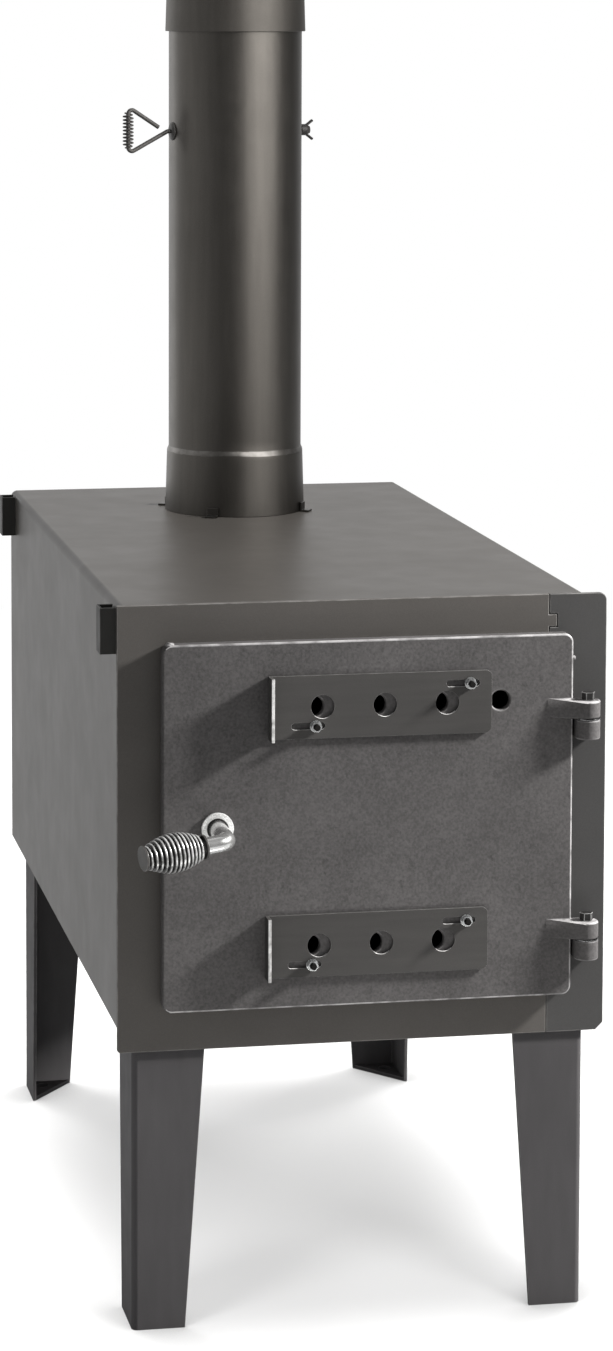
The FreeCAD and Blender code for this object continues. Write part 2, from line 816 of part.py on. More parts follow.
class Leg:
    """One angle leg, from its outer corner and the way its two flanges run."""

    def __init__(self, name, x, y, to_right, to_back):
        self.name = name
        self.x = x
        self.y = y
        self.to_right = to_right
        self.to_back = to_back

    def at(self, across, along, z):
        """A point, from the leg's outer corner along its two flanges."""
        return Vec(self.x + self.to_right * across, self.y + self.to_back * along, z)

    def angle(self):
        """The folded angle, each flange tapering from the firebox to the foot."""
        wide = max(leg_front_foot, leg_front_top)
        deep = max(leg_side_foot, leg_side_top)
        profile = [(0, 0), (wide, 0), (wide, leg_sheet), (leg_sheet, leg_sheet), (leg_sheet, deep), (0, deep)]
        radii = [leg_bend, 0, 0, max(leg_bend - leg_sheet, least_bend), 0, 0]
        bar = plate([self.at(across, along, 0) for across, along in profile], radii, ALONG_Z * box_lift)
        through = leg_sheet + 2 * cut_over
        past_wide = wide + cut_over
        past_deep = deep + cut_over
        front = [(leg_front_foot, 0), (past_wide, 0), (past_wide, box_lift), (leg_front_top, box_lift)]
        side = [(leg_side_foot, 0), (past_deep, 0), (past_deep, box_lift), (leg_side_top, box_lift)]
        front_points = [self.at(across, -cut_over, z) for across, z in front]
        side_points = [self.at(-cut_over, along, z) for along, z in side]
        front_cut = plate(front_points, [0] * 4, ALONG_Y * (self.to_back * through))
        side_cut = plate(side_points, [0] * 4, ALONG_X * (self.to_right * through))
        return bar.cut(front_cut).cut(side_cut)

    def triangle(self, wide, deep, low):
        """A corner plate between the two flanges."""
        inner_bend = max(leg_bend - leg_sheet, least_bend)
        corners = [self.at(leg_sheet, leg_sheet, low), self.at(wide - foot_trim, leg_sheet, low),
                   self.at(leg_sheet, deep - foot_trim, low)]
        return plate(corners, [inner_bend + foot_trim, 0, 0], ALONG_Z * foot_sheet)

    def foot(self):
        """The foot plate, with its anchor hole."""
        spot = self.at(foot_hole_x, foot_hole_y, 0)
        pad = self.triangle(leg_front_foot, leg_side_foot, 0)
        top = spot + ALONG_Z * (foot_sheet + cut_over)
        return pad.cut(rod(foot_hole_radius, spot - ALONG_Z * cut_over, top))

    def bolt_spots(self):
        """The places of the leg's two bolts, on the ground."""
        near = leg_sheet + leg_bolt_near
        return [self.at(near, leg_sheet + leg_bolt_far, 0), self.at(leg_bolt_far, near, 0)]

    def top_plate(self):
        """The plate that is bolted under the firebox's floor."""
        low = box_lift - foot_sheet
        pad = self.triangle(leg_front_top, leg_side_top, low)
        for spot in self.bolt_spots():
            start = spot + ALONG_Z * (low - cut_over)
            pad = pad.cut(rod(leg_bolt_radius + fit_gap, start, spot + ALONG_Z * (box_lift + cut_over)))
        return pad


left_leg_x = leg_inset_left
right_leg_x = box_width - leg_inset_right
back_leg_y = box_depth - leg_inset_back
legs = [Leg("front_left_leg", left_leg_x, front_sheet, 1, 1),
        Leg("front_right_leg", right_leg_x, front_sheet, -1, 1),
        Leg("rear_left_leg", left_leg_x, back_leg_y, 1, -1),
        Leg("rear_right_leg", right_leg_x, back_leg_y, -1, -1)]


def leg_bolt_spots():
    """The places of all leg bolts, seen from above."""
    return [spot for leg in legs for spot in leg.bolt_spots()]


def leg_bolts():
    """Bolts up through the legs' top plates and the floor."""
    made = []
    seat = box_lift - foot_sheet
    tip = floor_top + leg_bolt_head + leg_bolt_tip
    for spot in leg_bolt_spots():
        head = hexagon(spot + ALONG_Z * (seat - leg_bolt_head), ALONG_Z, leg_bolt_width, leg_bolt_head)
        made.append(head.fuse(rod(leg_bolt_radius, spot + ALONG_Z * seat, spot + ALONG_Z * tip)))
    return made


def leg_nuts():
    """Nuts on the leg bolts, inside the firebox."""
    made = []
    for spot in leg_bolt_spots():
        nut = hexagon(spot + ALONG_Z * floor_top, ALONG_Z, leg_bolt_width, leg_bolt_head)
        past = spot + ALONG_Z * (floor_top + 2 * leg_bolt_head)
        made.append(nut.cut(rod(leg_bolt_radius + fit_gap, spot + ALONG_Z * box_lift, past)))
    return made


def side_sleeve(front):
    """A folded channel on the firebox's left side, open above and below."""
    high = box_top - sleeve_drop
    low = high - sleeve_height
    whole = box((-sleeve_out, 0), (front, front + sleeve_depth), (low, high))
    inside = (front + sleeve_sheet, front + sleeve_depth - sleeve_sheet)
    return whole.cut(box((sleeve_sheet - sleeve_out, 0), inside, (low - cut_over, high + cut_over)))


def grate_ledge(wall_x, inward):
    """An angle along the firebox's side that carries the grate."""
    high = floor_top + grate_rise
    low = high - ledge_size
    ends = (front_sheet + ledge_end_gap, rear_face - ledge_end_gap)
    wall = box(sorted((wall_x, wall_x + inward * ledge_sheet)), ends, (low, high))
    shelf = box(sorted((wall_x, wall_x + inward * ledge_size)), ends, (high - ledge_sheet, high))
    return wall.fuse(shelf).removeSplitter()


def fire_grate():
    """A slotted plate on the two ledges."""
    low = floor_top + grate_rise
    left = inner_left + grate_side_gap
    right = inner_right - grate_side_gap
    front = front_sheet + grate_end_gap
    back = rear_face - grate_end_gap
    sheet = box((left, right), (front, back), (low, low + grate_sheet))
    pitch = (right - left - 2 * ledge_size) / grate_slots
    slot_length = (back - front - (grate_rows + 1) * grate_bar) / grate_rows
    for column in range(grate_slots):
        x = left + ledge_size + (column + 0.5) * pitch
        for row in range(grate_rows):
            y = front + grate_bar + row * (slot_length + grate_bar)
            half = grate_slot_width / 2
            far = y + slot_length
            under = low - cut_over
            corners = [Vec(x - half, y, under), Vec(x + half, y, under), Vec(x + half, far, under),
                       Vec(x - half, far, under)]
            sheet = sheet.cut(plate(corners, [half * slot_round] * 4, ALONG_Z * (grate_sheet + 2 * cut_over)))
    return sheet


os.makedirs("parts", exist_ok=True)
group = Part.makeCompound
upper_vent = Vent(upper_vent_offset, door_high - upper_vent_drop, upper_door_holes)
lower_vent = Vent(lower_vent_offset, door_low + lower_vent_rise, lower_door_holes)
vents = (lower_vent, upper_vent)

save("body_wrap", body_wrap())
save("floor_sheet", floor_sheet())
save("rear_panel", rear_panel())
save("front_plate", front_plate())
save("hinge_strip", hinge_strip())
save("lower_knuckle", knuckle(ear_lows[0]))
save("upper_knuckle", knuckle(ear_lows[1]))
save("hinge_pins", group([hinge_pin(ear_low) for ear_low in ear_lows]))
save("hinge_washers", group([hinge_washer(ear_low) for ear_low in ear_lows]))

save("door_plate", door_plate(vents))
save("vent_bolts", group([piece for vent in vents for piece in vent.bolts()]))
save("vent_washers", group([piece for vent in vents for piece in vent.washers()]))
save("vent_nuts", group([piece for vent in vents for piece in vent.nuts()]))
save("upper_vent_slide", upper_vent.slide())
save("lower_vent_slide", lower_vent.slide())

grip, grip_gap = handle_coil()
save("latch_rod", drooped(latch_rod()))
save("latch_washer", drooped(latch_washer()))
save("handle_stops", drooped(group(handle_stops())))
save("handle_coil", drooped(grip))
save("latch_spacer", drooped(latch_spacer()))
save("latch_tongue", drooped(latch_tongue()))
save("latch_nut", drooped(latch_nut()))

save("flue_spigot", flue_spigot())
save("pipe_tabs", group(pipe_tabs()))
save("lower_flue_pipe", damped_pipe())
save("upper_flue_pipe", pipe_section(upper_pipe_base))

damper_coil, damper_coil_gap = damper_grip()
save("damper_shaft", damper_placed(damper_shaft()))
save("damper_plate", damper_placed(damper_plate()))
save("damper_grip", damper_placed(damper_coil))
save("damper_bushes", damper_placed(group(damper_bushes())))
save("damper_wing_nut", damper_placed(damper_wing_nut()))

for leg in legs:
    save(leg.name, leg.angle())
save("foot_plates", group([leg.foot() for leg in legs]))
save("leg_top_plates", group([leg.top_plate() for leg in legs]))
save("leg_bolts", group(leg_bolts()))
save("leg_nuts", group(leg_nuts()))

rear_sleeve_y = box_depth - sleeve_back - sleeve_depth
save("left_front_sleeve", side_sleeve(sleeve_front))
save("left_rear_sleeve", side_sleeve(rear_sleeve_y))
save("left_grate_ledge", grate_ledge(inner_left, 1))
save("right_grate_ledge", grate_ledge(inner_right, -1))
save("fire_grate", fire_grate())

print("least gap of the handle coil to itself", round(grip_gap, 2))
print("least gap of the damper coil to itself", round(damper_coil_gap, 2))
for name, spot in (("hinge axis", Vec(hinge_x, hinge_y, door_low)), ("latch pivot", pivot),
                   ("damper centre", Vec(flue_x, flue_y, damper_z)), ("origin shift", Vec(0, 0, 0)),
                   ("upper pipe top", Vec(flue_x, flue_y, upper_pipe_base + pipe_length))):
    place = spot + to_origin
    print(name, round(place.x, 3), round(place.y, 3), round(place.z, 3))
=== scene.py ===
"""Looks of the outdoor wood-burning stove: finishes, softened pieces, camera and studio."""
import json
import logging
import math
from dataclasses import dataclass, field, replace
from enum import Enum
from typing import Any, Callable, Mapping, Sequence

import bmesh
import bpy
from mathutils import Matrix, Vector

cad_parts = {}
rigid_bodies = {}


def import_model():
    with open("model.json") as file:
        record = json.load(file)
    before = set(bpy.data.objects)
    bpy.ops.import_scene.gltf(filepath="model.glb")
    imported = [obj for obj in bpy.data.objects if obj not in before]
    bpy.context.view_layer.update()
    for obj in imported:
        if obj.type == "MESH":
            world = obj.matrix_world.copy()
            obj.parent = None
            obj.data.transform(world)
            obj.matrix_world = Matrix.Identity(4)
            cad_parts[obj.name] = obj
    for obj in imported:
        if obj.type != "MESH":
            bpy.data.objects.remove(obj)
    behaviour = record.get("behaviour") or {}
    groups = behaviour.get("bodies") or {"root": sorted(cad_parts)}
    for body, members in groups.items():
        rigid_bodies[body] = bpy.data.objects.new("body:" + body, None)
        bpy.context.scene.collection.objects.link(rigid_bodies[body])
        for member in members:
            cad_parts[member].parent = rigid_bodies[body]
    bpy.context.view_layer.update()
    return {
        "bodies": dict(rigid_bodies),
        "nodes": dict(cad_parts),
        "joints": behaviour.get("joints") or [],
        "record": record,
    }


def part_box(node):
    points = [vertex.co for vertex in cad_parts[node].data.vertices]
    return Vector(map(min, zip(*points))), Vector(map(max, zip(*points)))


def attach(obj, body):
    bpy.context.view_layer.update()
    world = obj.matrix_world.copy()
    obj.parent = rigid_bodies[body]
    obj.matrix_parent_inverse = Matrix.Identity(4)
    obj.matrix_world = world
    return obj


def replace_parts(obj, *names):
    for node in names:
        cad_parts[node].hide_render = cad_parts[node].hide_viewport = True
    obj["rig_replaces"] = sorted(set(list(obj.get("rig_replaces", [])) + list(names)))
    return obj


LOG = logging.getLogger("stove")

# Sizes and angles for every softened piece
MM = 0.001
WELD = 0.002 * MM
FLAT_ANGLE = math.radians(0.4)
SHARP_ANGLE = math.radians(28)
CAST_SEGMENTS = 3
WEAR_AND_HIGHLIGHT_MARK = "arris"

# What noise, scuffing and painted highlights span in every finish
NOISE_RANGE = (0.3, 0.7)
STREAK_RANGE = (0.35, 0.68)
STREAK_CELLS = 30.0
PATCH_RANGE = (0.36, 0.62)
LEAST_PATCH = 0.25
PIT_SHADE = 0.8
ROUGH_FINER = 7
WHITE = (1.0, 1.0, 1.0, 1.0)

# Nodes that are lit together
FLUE_NODES = ("lower_flue_pipe", "upper_flue_pipe")
FLUE_INSIDE = ("flue_spigot", "damper_plate")
DAMPER_NODES = ("damper_shaft", "damper_grip", "damper_wing_nut", "damper_bushes")
FLUE_AND_DAMPER = (*FLUE_NODES, *DAMPER_NODES)
SLEEVES = ("left_front_sleeve", "left_rear_sleeve")
FRONT_NODES = ("front_plate", "hinge_strip", "lower_knuckle", "upper_knuckle", "hinge_pins", "hinge_washers",
               "door_plate", "vent_bolts", "vent_washers", "vent_nuts", "upper_vent_slide",
               "lower_vent_slide", "latch_rod", "latch_washer", "handle_coil", "handle_stops")
FLOOR = ("floor",)

# Lamps at the floor's four corners: name, place and watts
FLOOR_AIM = (0.0, 0.0, 0.0)
CORNER_SIZE = (0.6, 0.6)
CORNER_LAMPS = (
    ("floor_front_left", (-1.34, -1.40, 1.41), 19.0),
    ("floor_front_right", (0.81, -1.76, 1.41), 17.0),
    ("floor_back_left", (-0.83, 1.64, 1.54), 17.0),
    ("floor_back_right", (1.36, 1.25, 1.54), 19.0),
)

Colour = tuple[float, float, float]
Spot = tuple[float, float, float]
Profile = Sequence[tuple[float, float]]


class Body(Enum):
    """The bodies that pieces ride on."""

    STOVE = "stove"
    DOOR = "door"
    LATCH = "latch"
    UPPER_VENT = "upper_vent"
    LOWER_VENT = "lower_vent"
    DAMPER = "damper"


class Slot(Enum):
    """The record's material slots."""

    BODY_PAINT = "body_paint"
    FRONT_PAINT = "front_paint"
    LEG_PAINT = "leg_paint"
    PIPE_PAINT = "pipe_paint"
    CAST_IRON = "cast_iron"
    DARK_STEEL = "dark_steel"
    ZINC = "zinc"
    BARE_STEEL = "bare_steel"


class NodeTree:
    """A shader's nodes, with short ways to add and join them."""

    def __init__(self, tree: bpy.types.NodeTree) -> None:
        """Works on the tree of a material or of the surround."""
        self.tree = tree

    def add(self, kind: str, inputs: Mapping[Any, Any], output: Any = 0, **settings: Any
            ) -> bpy.types.NodeSocket:
        """Adds a node.

        Args:
            kind: the node's type.
            inputs: a value or a socket for each input.
            output: which output is wanted.
            **settings: the node's own settings.

        Returns:
            The wanted output.
        """
        node = self.tree.nodes.new(kind)
        for name, value in settings.items():
            setattr(node, name, value)
        for key, value in inputs.items():
            if isinstance(value, bpy.types.NodeSocket):
                self.tree.links.new(value, node.inputs[key])
            else:
                node.inputs[key].default_value = value
        return node.outputs[output]

    def spread(self, value: bpy.types.NodeSocket, low: float, high: float, start: Any, end: Any
               ) -> bpy.types.NodeSocket:
        """Maps a value from low..high to start..end, held at both ends."""
        keys = ("Value", "From Min", "From Max", "To Min", "To Max")
        return self.add("ShaderNodeMapRange", dict(zip(keys, (value, low, high, start, end))))

    def times(self, first: Any, second: Any, operation: str = "MULTIPLY") -> bpy.types.NodeSocket:
        """Two values multiplied, or joined by another operation."""
        return self.add("ShaderNodeMath", {0: first, 1: second}, operation=operation)

    def mixed(self, share: Any, first: Any, second: Any, blend: str = "MIX") -> bpy.types.NodeSocket:
        """Two colours mixed by a share."""
        inputs = {0: share, 6: first, 7: second}
        return self.add("ShaderNodeMix", inputs, 2, data_type="RGBA", blend_type=blend)

    def ray(self, kind: str) -> bpy.types.NodeSocket:
        """Whether a ray is of that kind."""
        return self.add("ShaderNodeLightPath", {}, f"Is {kind} Ray")

    def seen(self) -> bpy.types.NodeSocket:
        """Whether a ray comes from the camera, a reflection or glass."""
        reflected = self.times(self.ray("Camera"), self.ray("Glossy"), "MAXIMUM")
        return self.times(reflected, self.ray("Transmission"), "MAXIMUM")


class MaterialTree(NodeTree):
    """A new material's nodes."""

    def __init__(self, name: str) -> None:
        """Starts a material.

        Args:
            name: the material's name.
        """
        self.material = bpy.data.materials.new(name)
        self.material.use_nodes = True
        super().__init__(self.material.node_tree)
        self.shader = self.tree.nodes["Principled BSDF"]
        self.place = self.add("ShaderNodeTexCoord", {}, "Object")

    def noise(self, per_metre: float, detail: float = 3.0, stretch: Spot = (1, 1, 1)) -> bpy.types.NodeSocket:
        """A soft noise.

        Args:
            per_metre: how many cells it has in a metre.
            detail: how many finer layers lie on it.
            stretch: how much finer it is along each axis.

        Returns:
            The noise's value.
        """
        place = self.place
        if stretch != (1, 1, 1):
            place = self.add("ShaderNodeVectorMath", {0: place, 1: stretch}, operation="MULTIPLY")
        return self.add("ShaderNodeTexNoise", {"Vector": place, "Scale": per_metre, "Detail": detail})

    def link(self, value: bpy.types.NodeSocket, name: str) -> None:
        """Joins a value to one of the shader's sockets."""
        self.tree.links.new(value, self.shader.inputs[name])


@dataclass(frozen=True)
class Finish:
    """One procedural finish: colour, tone, grain, pits, streaks, and a pale colour on marked faces, which is
    scuffing on the arrises and a painted highlight where a piece marks its lit faces.
    """

    name: str
    slot: Slot
    colour: Colour
    rough: tuple[float, float] = (0.5, 0.62)
    metallic: float = 0.0
    specular: float = 0.3
    tone: float = 0.10
    tone_scale: float = 9.0
    grain_scale: float = 1500.0
    grain_tone: float = 0.06
    grain_bump: float = 0.04
    pit_scale: float = 260.0
    pit_bump: float = 0.0
    streak: float = 0.0
    streak_stretch: Spot = (1.0, 1.0, 1.0)
    wear: float = 0.45
    wear_colour: Colour = (0.34, 0.33, 0.32)
    wear_scale: float = 110.0
    wear_metal: float = 0.7
    pit_share: tuple[float, float] = (0.26, 0.38)
    bump_depth: float = 0.25 * MM
    wave: float = 0.0
    wave_scale: float = 6.0

    def material(self) -> bpy.types.Material:
        """The finish as a material, made once.

        Returns:
            The material.
        """
        name = f"{self.name}_finish"
        made = bpy.data.materials.get(name)
        if made:
            return made
        nodes = MaterialTree(name)
        tone = nodes.spread(nodes.noise(self.tone_scale), *NOISE_RANGE, 1 - self.tone, 1 + self.tone)
        grain = nodes.noise(self.grain_scale, detail=2.0)
        speckle = nodes.spread(grain, *NOISE_RANGE, 1 - self.grain_tone, 1 + self.grain_tone)
        shade = nodes.times(tone, speckle)
        if self.streak:
            streak = nodes.noise(STREAK_CELLS, detail=4.0, stretch=self.streak_stretch)
            streak = nodes.spread(streak, *STREAK_RANGE, 1 - self.streak, 1 + self.streak)
            shade = nodes.times(shade, streak)
        colour = nodes.mixed(1.0, (*self.colour, 1.0), shade, "MULTIPLY")
        height = nodes.times(grain, self.grain_bump)
        if self.pit_bump:
            pits = nodes.spread(nodes.noise(self.pit_scale, detail=4.0), *self.pit_share, 0.0, 1.0)
            height = nodes.times(height, nodes.times(pits, self.pit_bump), "ADD")
            colour = nodes.mixed(1.0, colour, nodes.spread(pits, 0.0, 1.0, PIT_SHADE, 1.0), "MULTIPLY")
        rough = nodes.spread(nodes.noise(self.tone_scale * ROUGH_FINER), *NOISE_RANGE, *self.rough)
        # Pale colour on marked faces: scuffing on the arrises, and a painted highlight where a piece marks
        # its lit faces
        if self.wear:
            edge = nodes.add("ShaderNodeAttribute", {}, "Fac", attribute_name=WEAR_AND_HIGHLIGHT_MARK)
            patchy = nodes.spread(nodes.noise(self.wear_scale, detail=4.0), *PATCH_RANGE, LEAST_PATCH, 1.0)
            worn_and_highlit = nodes.times(nodes.times(edge, patchy), self.wear)
            colour = nodes.mixed(worn_and_highlit, colour, (*self.wear_colour, 1.0))
            if not self.metallic:
                nodes.link(nodes.times(worn_and_highlit, self.wear_metal), "Metallic")
        nodes.link(colour, "Base Color")
        nodes.link(rough, "Roughness")
        inputs = {"Height": height, "Distance": self.bump_depth, "Strength": 1.0}
        bump = nodes.add("ShaderNodeBump", inputs)
        if self.wave:
            swell = nodes.noise(self.wave_scale, detail=1.0)
            inputs = {"Height": swell, "Distance": self.wave, "Strength": 1.0, "Normal": bump}
            bump = nodes.add("ShaderNodeBump", inputs)
        nodes.link(bump, "Normal")
        if self.metallic:
            nodes.shader.inputs["Metallic"].default_value = self.metallic
        nodes.shader.inputs["Specular IOR Level"].default_value = self.specular
        return nodes.material


BODY_PAINT = Finish("body_paint", Slot.BODY_PAINT, (0.060, 0.0555, 0.051), rough=(0.38, 0.42), specular=0.15,
                    tone=0.05, tone_scale=5.0, wave=2.5 * MM)
STRIP_PAINT = Finish("strip_paint", Slot.FRONT_PAINT, (0.047, 0.0462, 0.0455), specular=0.2, tone=0.08,
                     grain_tone=0.07)
# Painted shade: the sleeves' paint is the body paint at half its brightness
SHADED_SLEEVE_PAINT = Finish("sleeve_paint", Slot.BODY_PAINT, (0.030, 0.029, 0.027), specular=0.2)
FRONT_PAINT = replace(STRIP_PAINT, name="front_paint", colour=(0.073, 0.068, 0.063))
# Its near-white edge colour is scuffing on the arrises and a painted highlight on the slots' upward lips
SLIDE_PAINT = Finish("slide_paint", Slot.FRONT_PAINT, (0.053, 0.051, 0.049), rough=(0.45, 0.6), specular=0.2,
                     tone=0.10, streak=0.05, streak_stretch=(0.6, 4.0, 9.0), wear=0.9,
                     wear_colour=(0.80, 0.79, 0.78), wear_scale=160.0, wear_metal=0.1)
LEG_PAINT = Finish("leg_paint", Slot.LEG_PAINT, (0.074, 0.071, 0.073), rough=(0.62, 0.70), specular=0.2,
                   tone=0.08, streak=0.05, streak_stretch=(4.0, 4.0, 0.8))
PIPE_PAINT = Finish("pipe_paint", Slot.PIPE_PAINT, (0.079, 0.074, 0.0675), rough=(0.38, 0.42), metallic=1.0,
                    tone=0.06, streak=0.05, streak_stretch=(6.0, 6.0, 0.5), grain_bump=0.05, wear=0.3)
UPPER_PIPE_PAINT = replace(PIPE_PAINT, name="upper_pipe_paint", rough=(0.50, 0.55))
CAST_IRON = Finish("cast_iron", Slot.CAST_IRON, (0.080, 0.0765, 0.076), rough=(0.5, 0.66), specular=0.15,
                   tone=0.12, tone_scale=20.0, grain_scale=620.0, grain_tone=0.2, grain_bump=0.45,
                   pit_scale=190.0, pit_bump=0.5, pit_share=(0.26, 0.40), wear=0.8,
                   wear_colour=(0.48, 0.47, 0.47), wear_metal=0.4, bump_depth=0.11 * MM)
KNUCKLE_IRON = replace(CAST_IRON, name="knuckle_iron", wear=0.25)
DARK_STEEL = Finish("dark_steel", Slot.DARK_STEEL, (0.045, 0.043, 0.041), rough=(0.38, 0.54), specular=0.3,
                    metallic=0.3, tone=0.15, grain_bump=0.06, wear=0.5)
# Its near-white edge colour, on the wire's outer side, is a painted highlight
COIL_STEEL_WITH_HIGHLIGHT = Finish("coil_steel", Slot.DARK_STEEL, (0.020, 0.020, 0.019), rough=(0.24, 0.34), specular=0.3,
                    grain_bump=0.05, wear=1.0, wear_colour=(0.85, 0.85, 0.84), wear_scale=220.0)
SOOT_STEEL = Finish("soot_steel", Slot.DARK_STEEL, (0.012, 0.0115, 0.011), rough=(0.4, 0.55), specular=0.3,
                    wear=0.8, wear_colour=(0.6, 0.6, 0.59))
# Painted shade: matte near-black bolt ends without sheen, which read as dark holes
SHADED_TIP_STEEL = replace(SOOT_STEEL, name="tip_steel", rough=(0.8, 0.9), specular=0.05, wear=0.0)
ZINC_WHITE = Finish("zinc_white", Slot.ZINC, (0.80, 0.80, 0.79), rough=(0.12, 0.22), metallic=0.9, tone=0.08,
                    tone_scale=90.0, grain_bump=0.05, wear=0.3, wear_colour=(0.9, 0.9, 0.9))
# Painted reflection: pale zinc made mostly diffuse, so the washer's face shows near-white
WASHER_ZINC_PAINTED_SHINE = replace(ZINC_WHITE, name="washer_zinc", rough=(0.2, 0.32), metallic=0.35)
ZINC = Finish("zinc", Slot.ZINC, (0.62, 0.63, 0.63), rough=(0.18, 0.36), metallic=1.0, tone=0.12,
              tone_scale=120.0, grain_scale=2600.0, grain_tone=0.05, grain_bump=0.05, wear=0.3,
              wear_colour=(0.8, 0.8, 0.8))
DULL_ZINC = replace(ZINC, name="dull_zinc", colour=(0.2, 0.2, 0.2), wear=0.0)
BARE_STEEL = Finish("bare_steel", Slot.BARE_STEEL, (0.16, 0.15, 0.14), rough=(0.45, 0.65), metallic=0.5,
                    tone=0.2, streak=0.08, streak_stretch=(1.0, 6.0, 6.0), wear=0.5)


def mesh_object(work: bmesh.types.BMesh, name: str) -> bpy.types.Object:
    """Turns a finished bmesh into a smooth object in the scene.

    Args:
        work: the mesh, which is freed.
        name: the object's name.

    Returns:
        The new object.
    """
    for face in work.faces:
        face.smooth = True
    for edge in work.edges:
        edge.smooth = edge.calc_face_angle(math.pi) < SHARP_ANGLE
    mesh = bpy.data.meshes.new(name)
    work.to_mesh(mesh)
    work.free()
    made = bpy.data.objects.new(name, mesh)
    bpy.context.scene.collection.objects.link(made)
    return made


def lathe(profile: Profile, axis: Matrix, sides: int, name: str,
          shift: Callable[[float, float, float], tuple[float, float]] | None = None) -> bpy.types.Object:
    """Turns a closed profile of (radius, height) about an axis.

    Args:
        profile: the outline, in order and closed from its last point to its first.
        axis: where the turned piece's foot and Z axis go.
        sides: how many flats go round.
        name: the object's name.
        shift: changes a point's radius and height by its angle, where it is given.

    Returns:
        The turned piece.
    """
    work = bmesh.new()
    rings = []
    for side in range(sides):
        angle = 2 * math.pi * side / sides
        column = []
        for radius, height in profile:
            if shift:
                radius, height = shift(angle, radius, height)
            spot = Vector((radius * math.cos(angle), radius * math.sin(angle), height))
            column.append(work.verts.new(axis @ spot))
        rings.append(column)
    for side, column in enumerate(rings):
        following = rings[(side + 1) % sides]
        for index in range(len(profile)):
            after = (index + 1) % len(profile)
            work.faces.new((column[index], following[index], following[after], column[after]))
    bmesh.ops.recalc_face_normals(work, faces=work.faces)
    return mesh_object(work, name)


def tube(points: Sequence[Vector], radius: float, sides: int, name: str) -> bpy.types.Object:
    """A round wire along points, closed at both ends.

    Args:
        points: the wire's centreline.
        radius: the wire's radius.
        sides: how many flats go round.
        name: the object's name.

    Returns:
        The wire.
    """
    work = bmesh.new()
    heading = (points[1] - points[0]).normalized()
    side = heading.orthogonal().normalized()
    rings = []
    for index, point in enumerate(points):
        before = points[max(index - 1, 0)]
        after = points[min(index + 1, len(points) - 1)]
        turned = (after - before).normalized()
        side = (heading.rotation_difference(turned) @ side).normalized()
        heading = turned
        other = heading.cross(side)
        ring = []
        for step in range(sides):
            angle = 2 * math.pi * step / sides
            ring.append(work.verts.new(point + (side * math.cos(angle) + other * math.sin(angle)) * radius))
        rings.append(ring)
    for first, second in zip(rings, rings[1:]):
        for step in range(sides):
            after = (step + 1) % sides
            work.faces.new((first[step], first[after], second[after], second[step]))
    work.faces.new(reversed(rings[0]))
    work.faces.new(rings[-1])
    bmesh.ops.recalc_face_normals(work, faces=work.faces)
    return mesh_object(work, name)


@dataclass
class Assembly:
    """Pieces that are made and dressed together."""

    frame: Mapping[str, Any]
    pieces: list[tuple[bpy.types.Object, Finish, Body, tuple[str, ...]]] = field(default_factory=list)

    def soften(self, node: str, finish: Finish, body: Body, width: float, segments: int = 2,
               clamp: bool = True) -> bpy.types.Object:
        """Copies a node's shape with its sharp edges rounded, and marks the rounded edges as scuffed.

        Args:
            node: the node that the piece stands for.
            finish: what it is dressed in.
            body: what it rides on.
            width: how wide the rounded edges are.
            segments: how many faces go across a rounded edge.
            clamp: whether short edges narrow the rounding.

        Returns:
            The softened piece.
        """
        work = bmesh.new()
        work.from_mesh(self.frame["nodes"][node].data)
        bmesh.ops.remove_doubles(work, verts=work.verts, dist=WELD)
        bmesh.ops.dissolve_limit(work, angle_limit=FLAT_ANGLE, verts=work.verts, edges=work.edges)
        mark = work.faces.layers.float.new(WEAR_AND_HIGHLIGHT_MARK)
        sharp = [edge for edge in work.edges if edge.is_manifold and edge.calc_face_angle() > SHARP_ANGLE]
        rounded = bmesh.ops.bevel(work, geom=sharp, offset=width, offset_type="OFFSET", segments=segments,
                                  profile=0.5, affect="EDGES", clamp_overlap=clamp)
        for face in rounded["faces"]:
            face[mark] = 1.0
        piece = mesh_object(work, f"{node}_softened")
        weigh = piece.modifiers.new("flat_faces", "WEIGHTED_NORMAL")
        weigh.keep_sharp = True
        self.pieces.append((piece, finish, body, (node,)))
        return piece

    def add(self, piece: bpy.types.Object, finish: Finish, body: Body, *nodes: str) -> bpy.types.Object:
        """Adds a piece that was made in another way, with the nodes that it stands for."""
        self.pieces.append((piece, finish, body, nodes))
        return piece

    def dress(self) -> None:
        """Gives each piece its finish and body, and hides the nodes that it stands for."""
        for piece, finish, body, nodes in self.pieces:
            piece.data.materials.clear()
            piece.data.materials.append(finish.material())
            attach(piece, body.value)
            if nodes:
                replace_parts(piece, *nodes)
            LOG.info("%s: %s on %s", piece.name, finish.name, body.value)


@dataclass
class Firebox(Assembly):
    """The folded box with its floor, back, side sleeves and grate."""

    edge: float = 0.5 * MM
    thin_edge: float = 0.3 * MM

    def build(self) -> None:
        """Makes the box's pieces."""
        for node in ("body_wrap", "rear_panel"):
            self.soften(node, BODY_PAINT, Body.STOVE, self.edge)
        for node in SLEEVES:
            self.soften(node, SHADED_SLEEVE_PAINT, Body.STOVE, self.thin_edge)
        for node in ("floor_sheet", "left_grate_ledge", "right_grate_ledge", "fire_grate"):
            self.soften(node, BARE_STEEL, Body.STOVE, self.edge)


@dataclass
class FrontFrame(Assembly):
    """The front plate, and the hinge strip with its knuckles, pins and washers."""

    edge: float = 0.6 * MM
    cast_edge: float = 1.2 * MM
    thin_edge: float = 0.2 * MM

    def build(self) -> None:
        """Makes the front's pieces."""
        self.soften("front_plate", FRONT_PAINT, Body.STOVE, self.edge)
        self.soften("hinge_strip", STRIP_PAINT, Body.STOVE, self.edge)
        for node in ("lower_knuckle", "upper_knuckle"):
            self.soften(node, KNUCKLE_IRON, Body.STOVE, self.cast_edge, CAST_SEGMENTS)
        self.soften("hinge_pins", SOOT_STEEL, Body.STOVE, self.edge)
        self.soften("hinge_washers", DULL_ZINC, Body.STOVE, self.thin_edge)


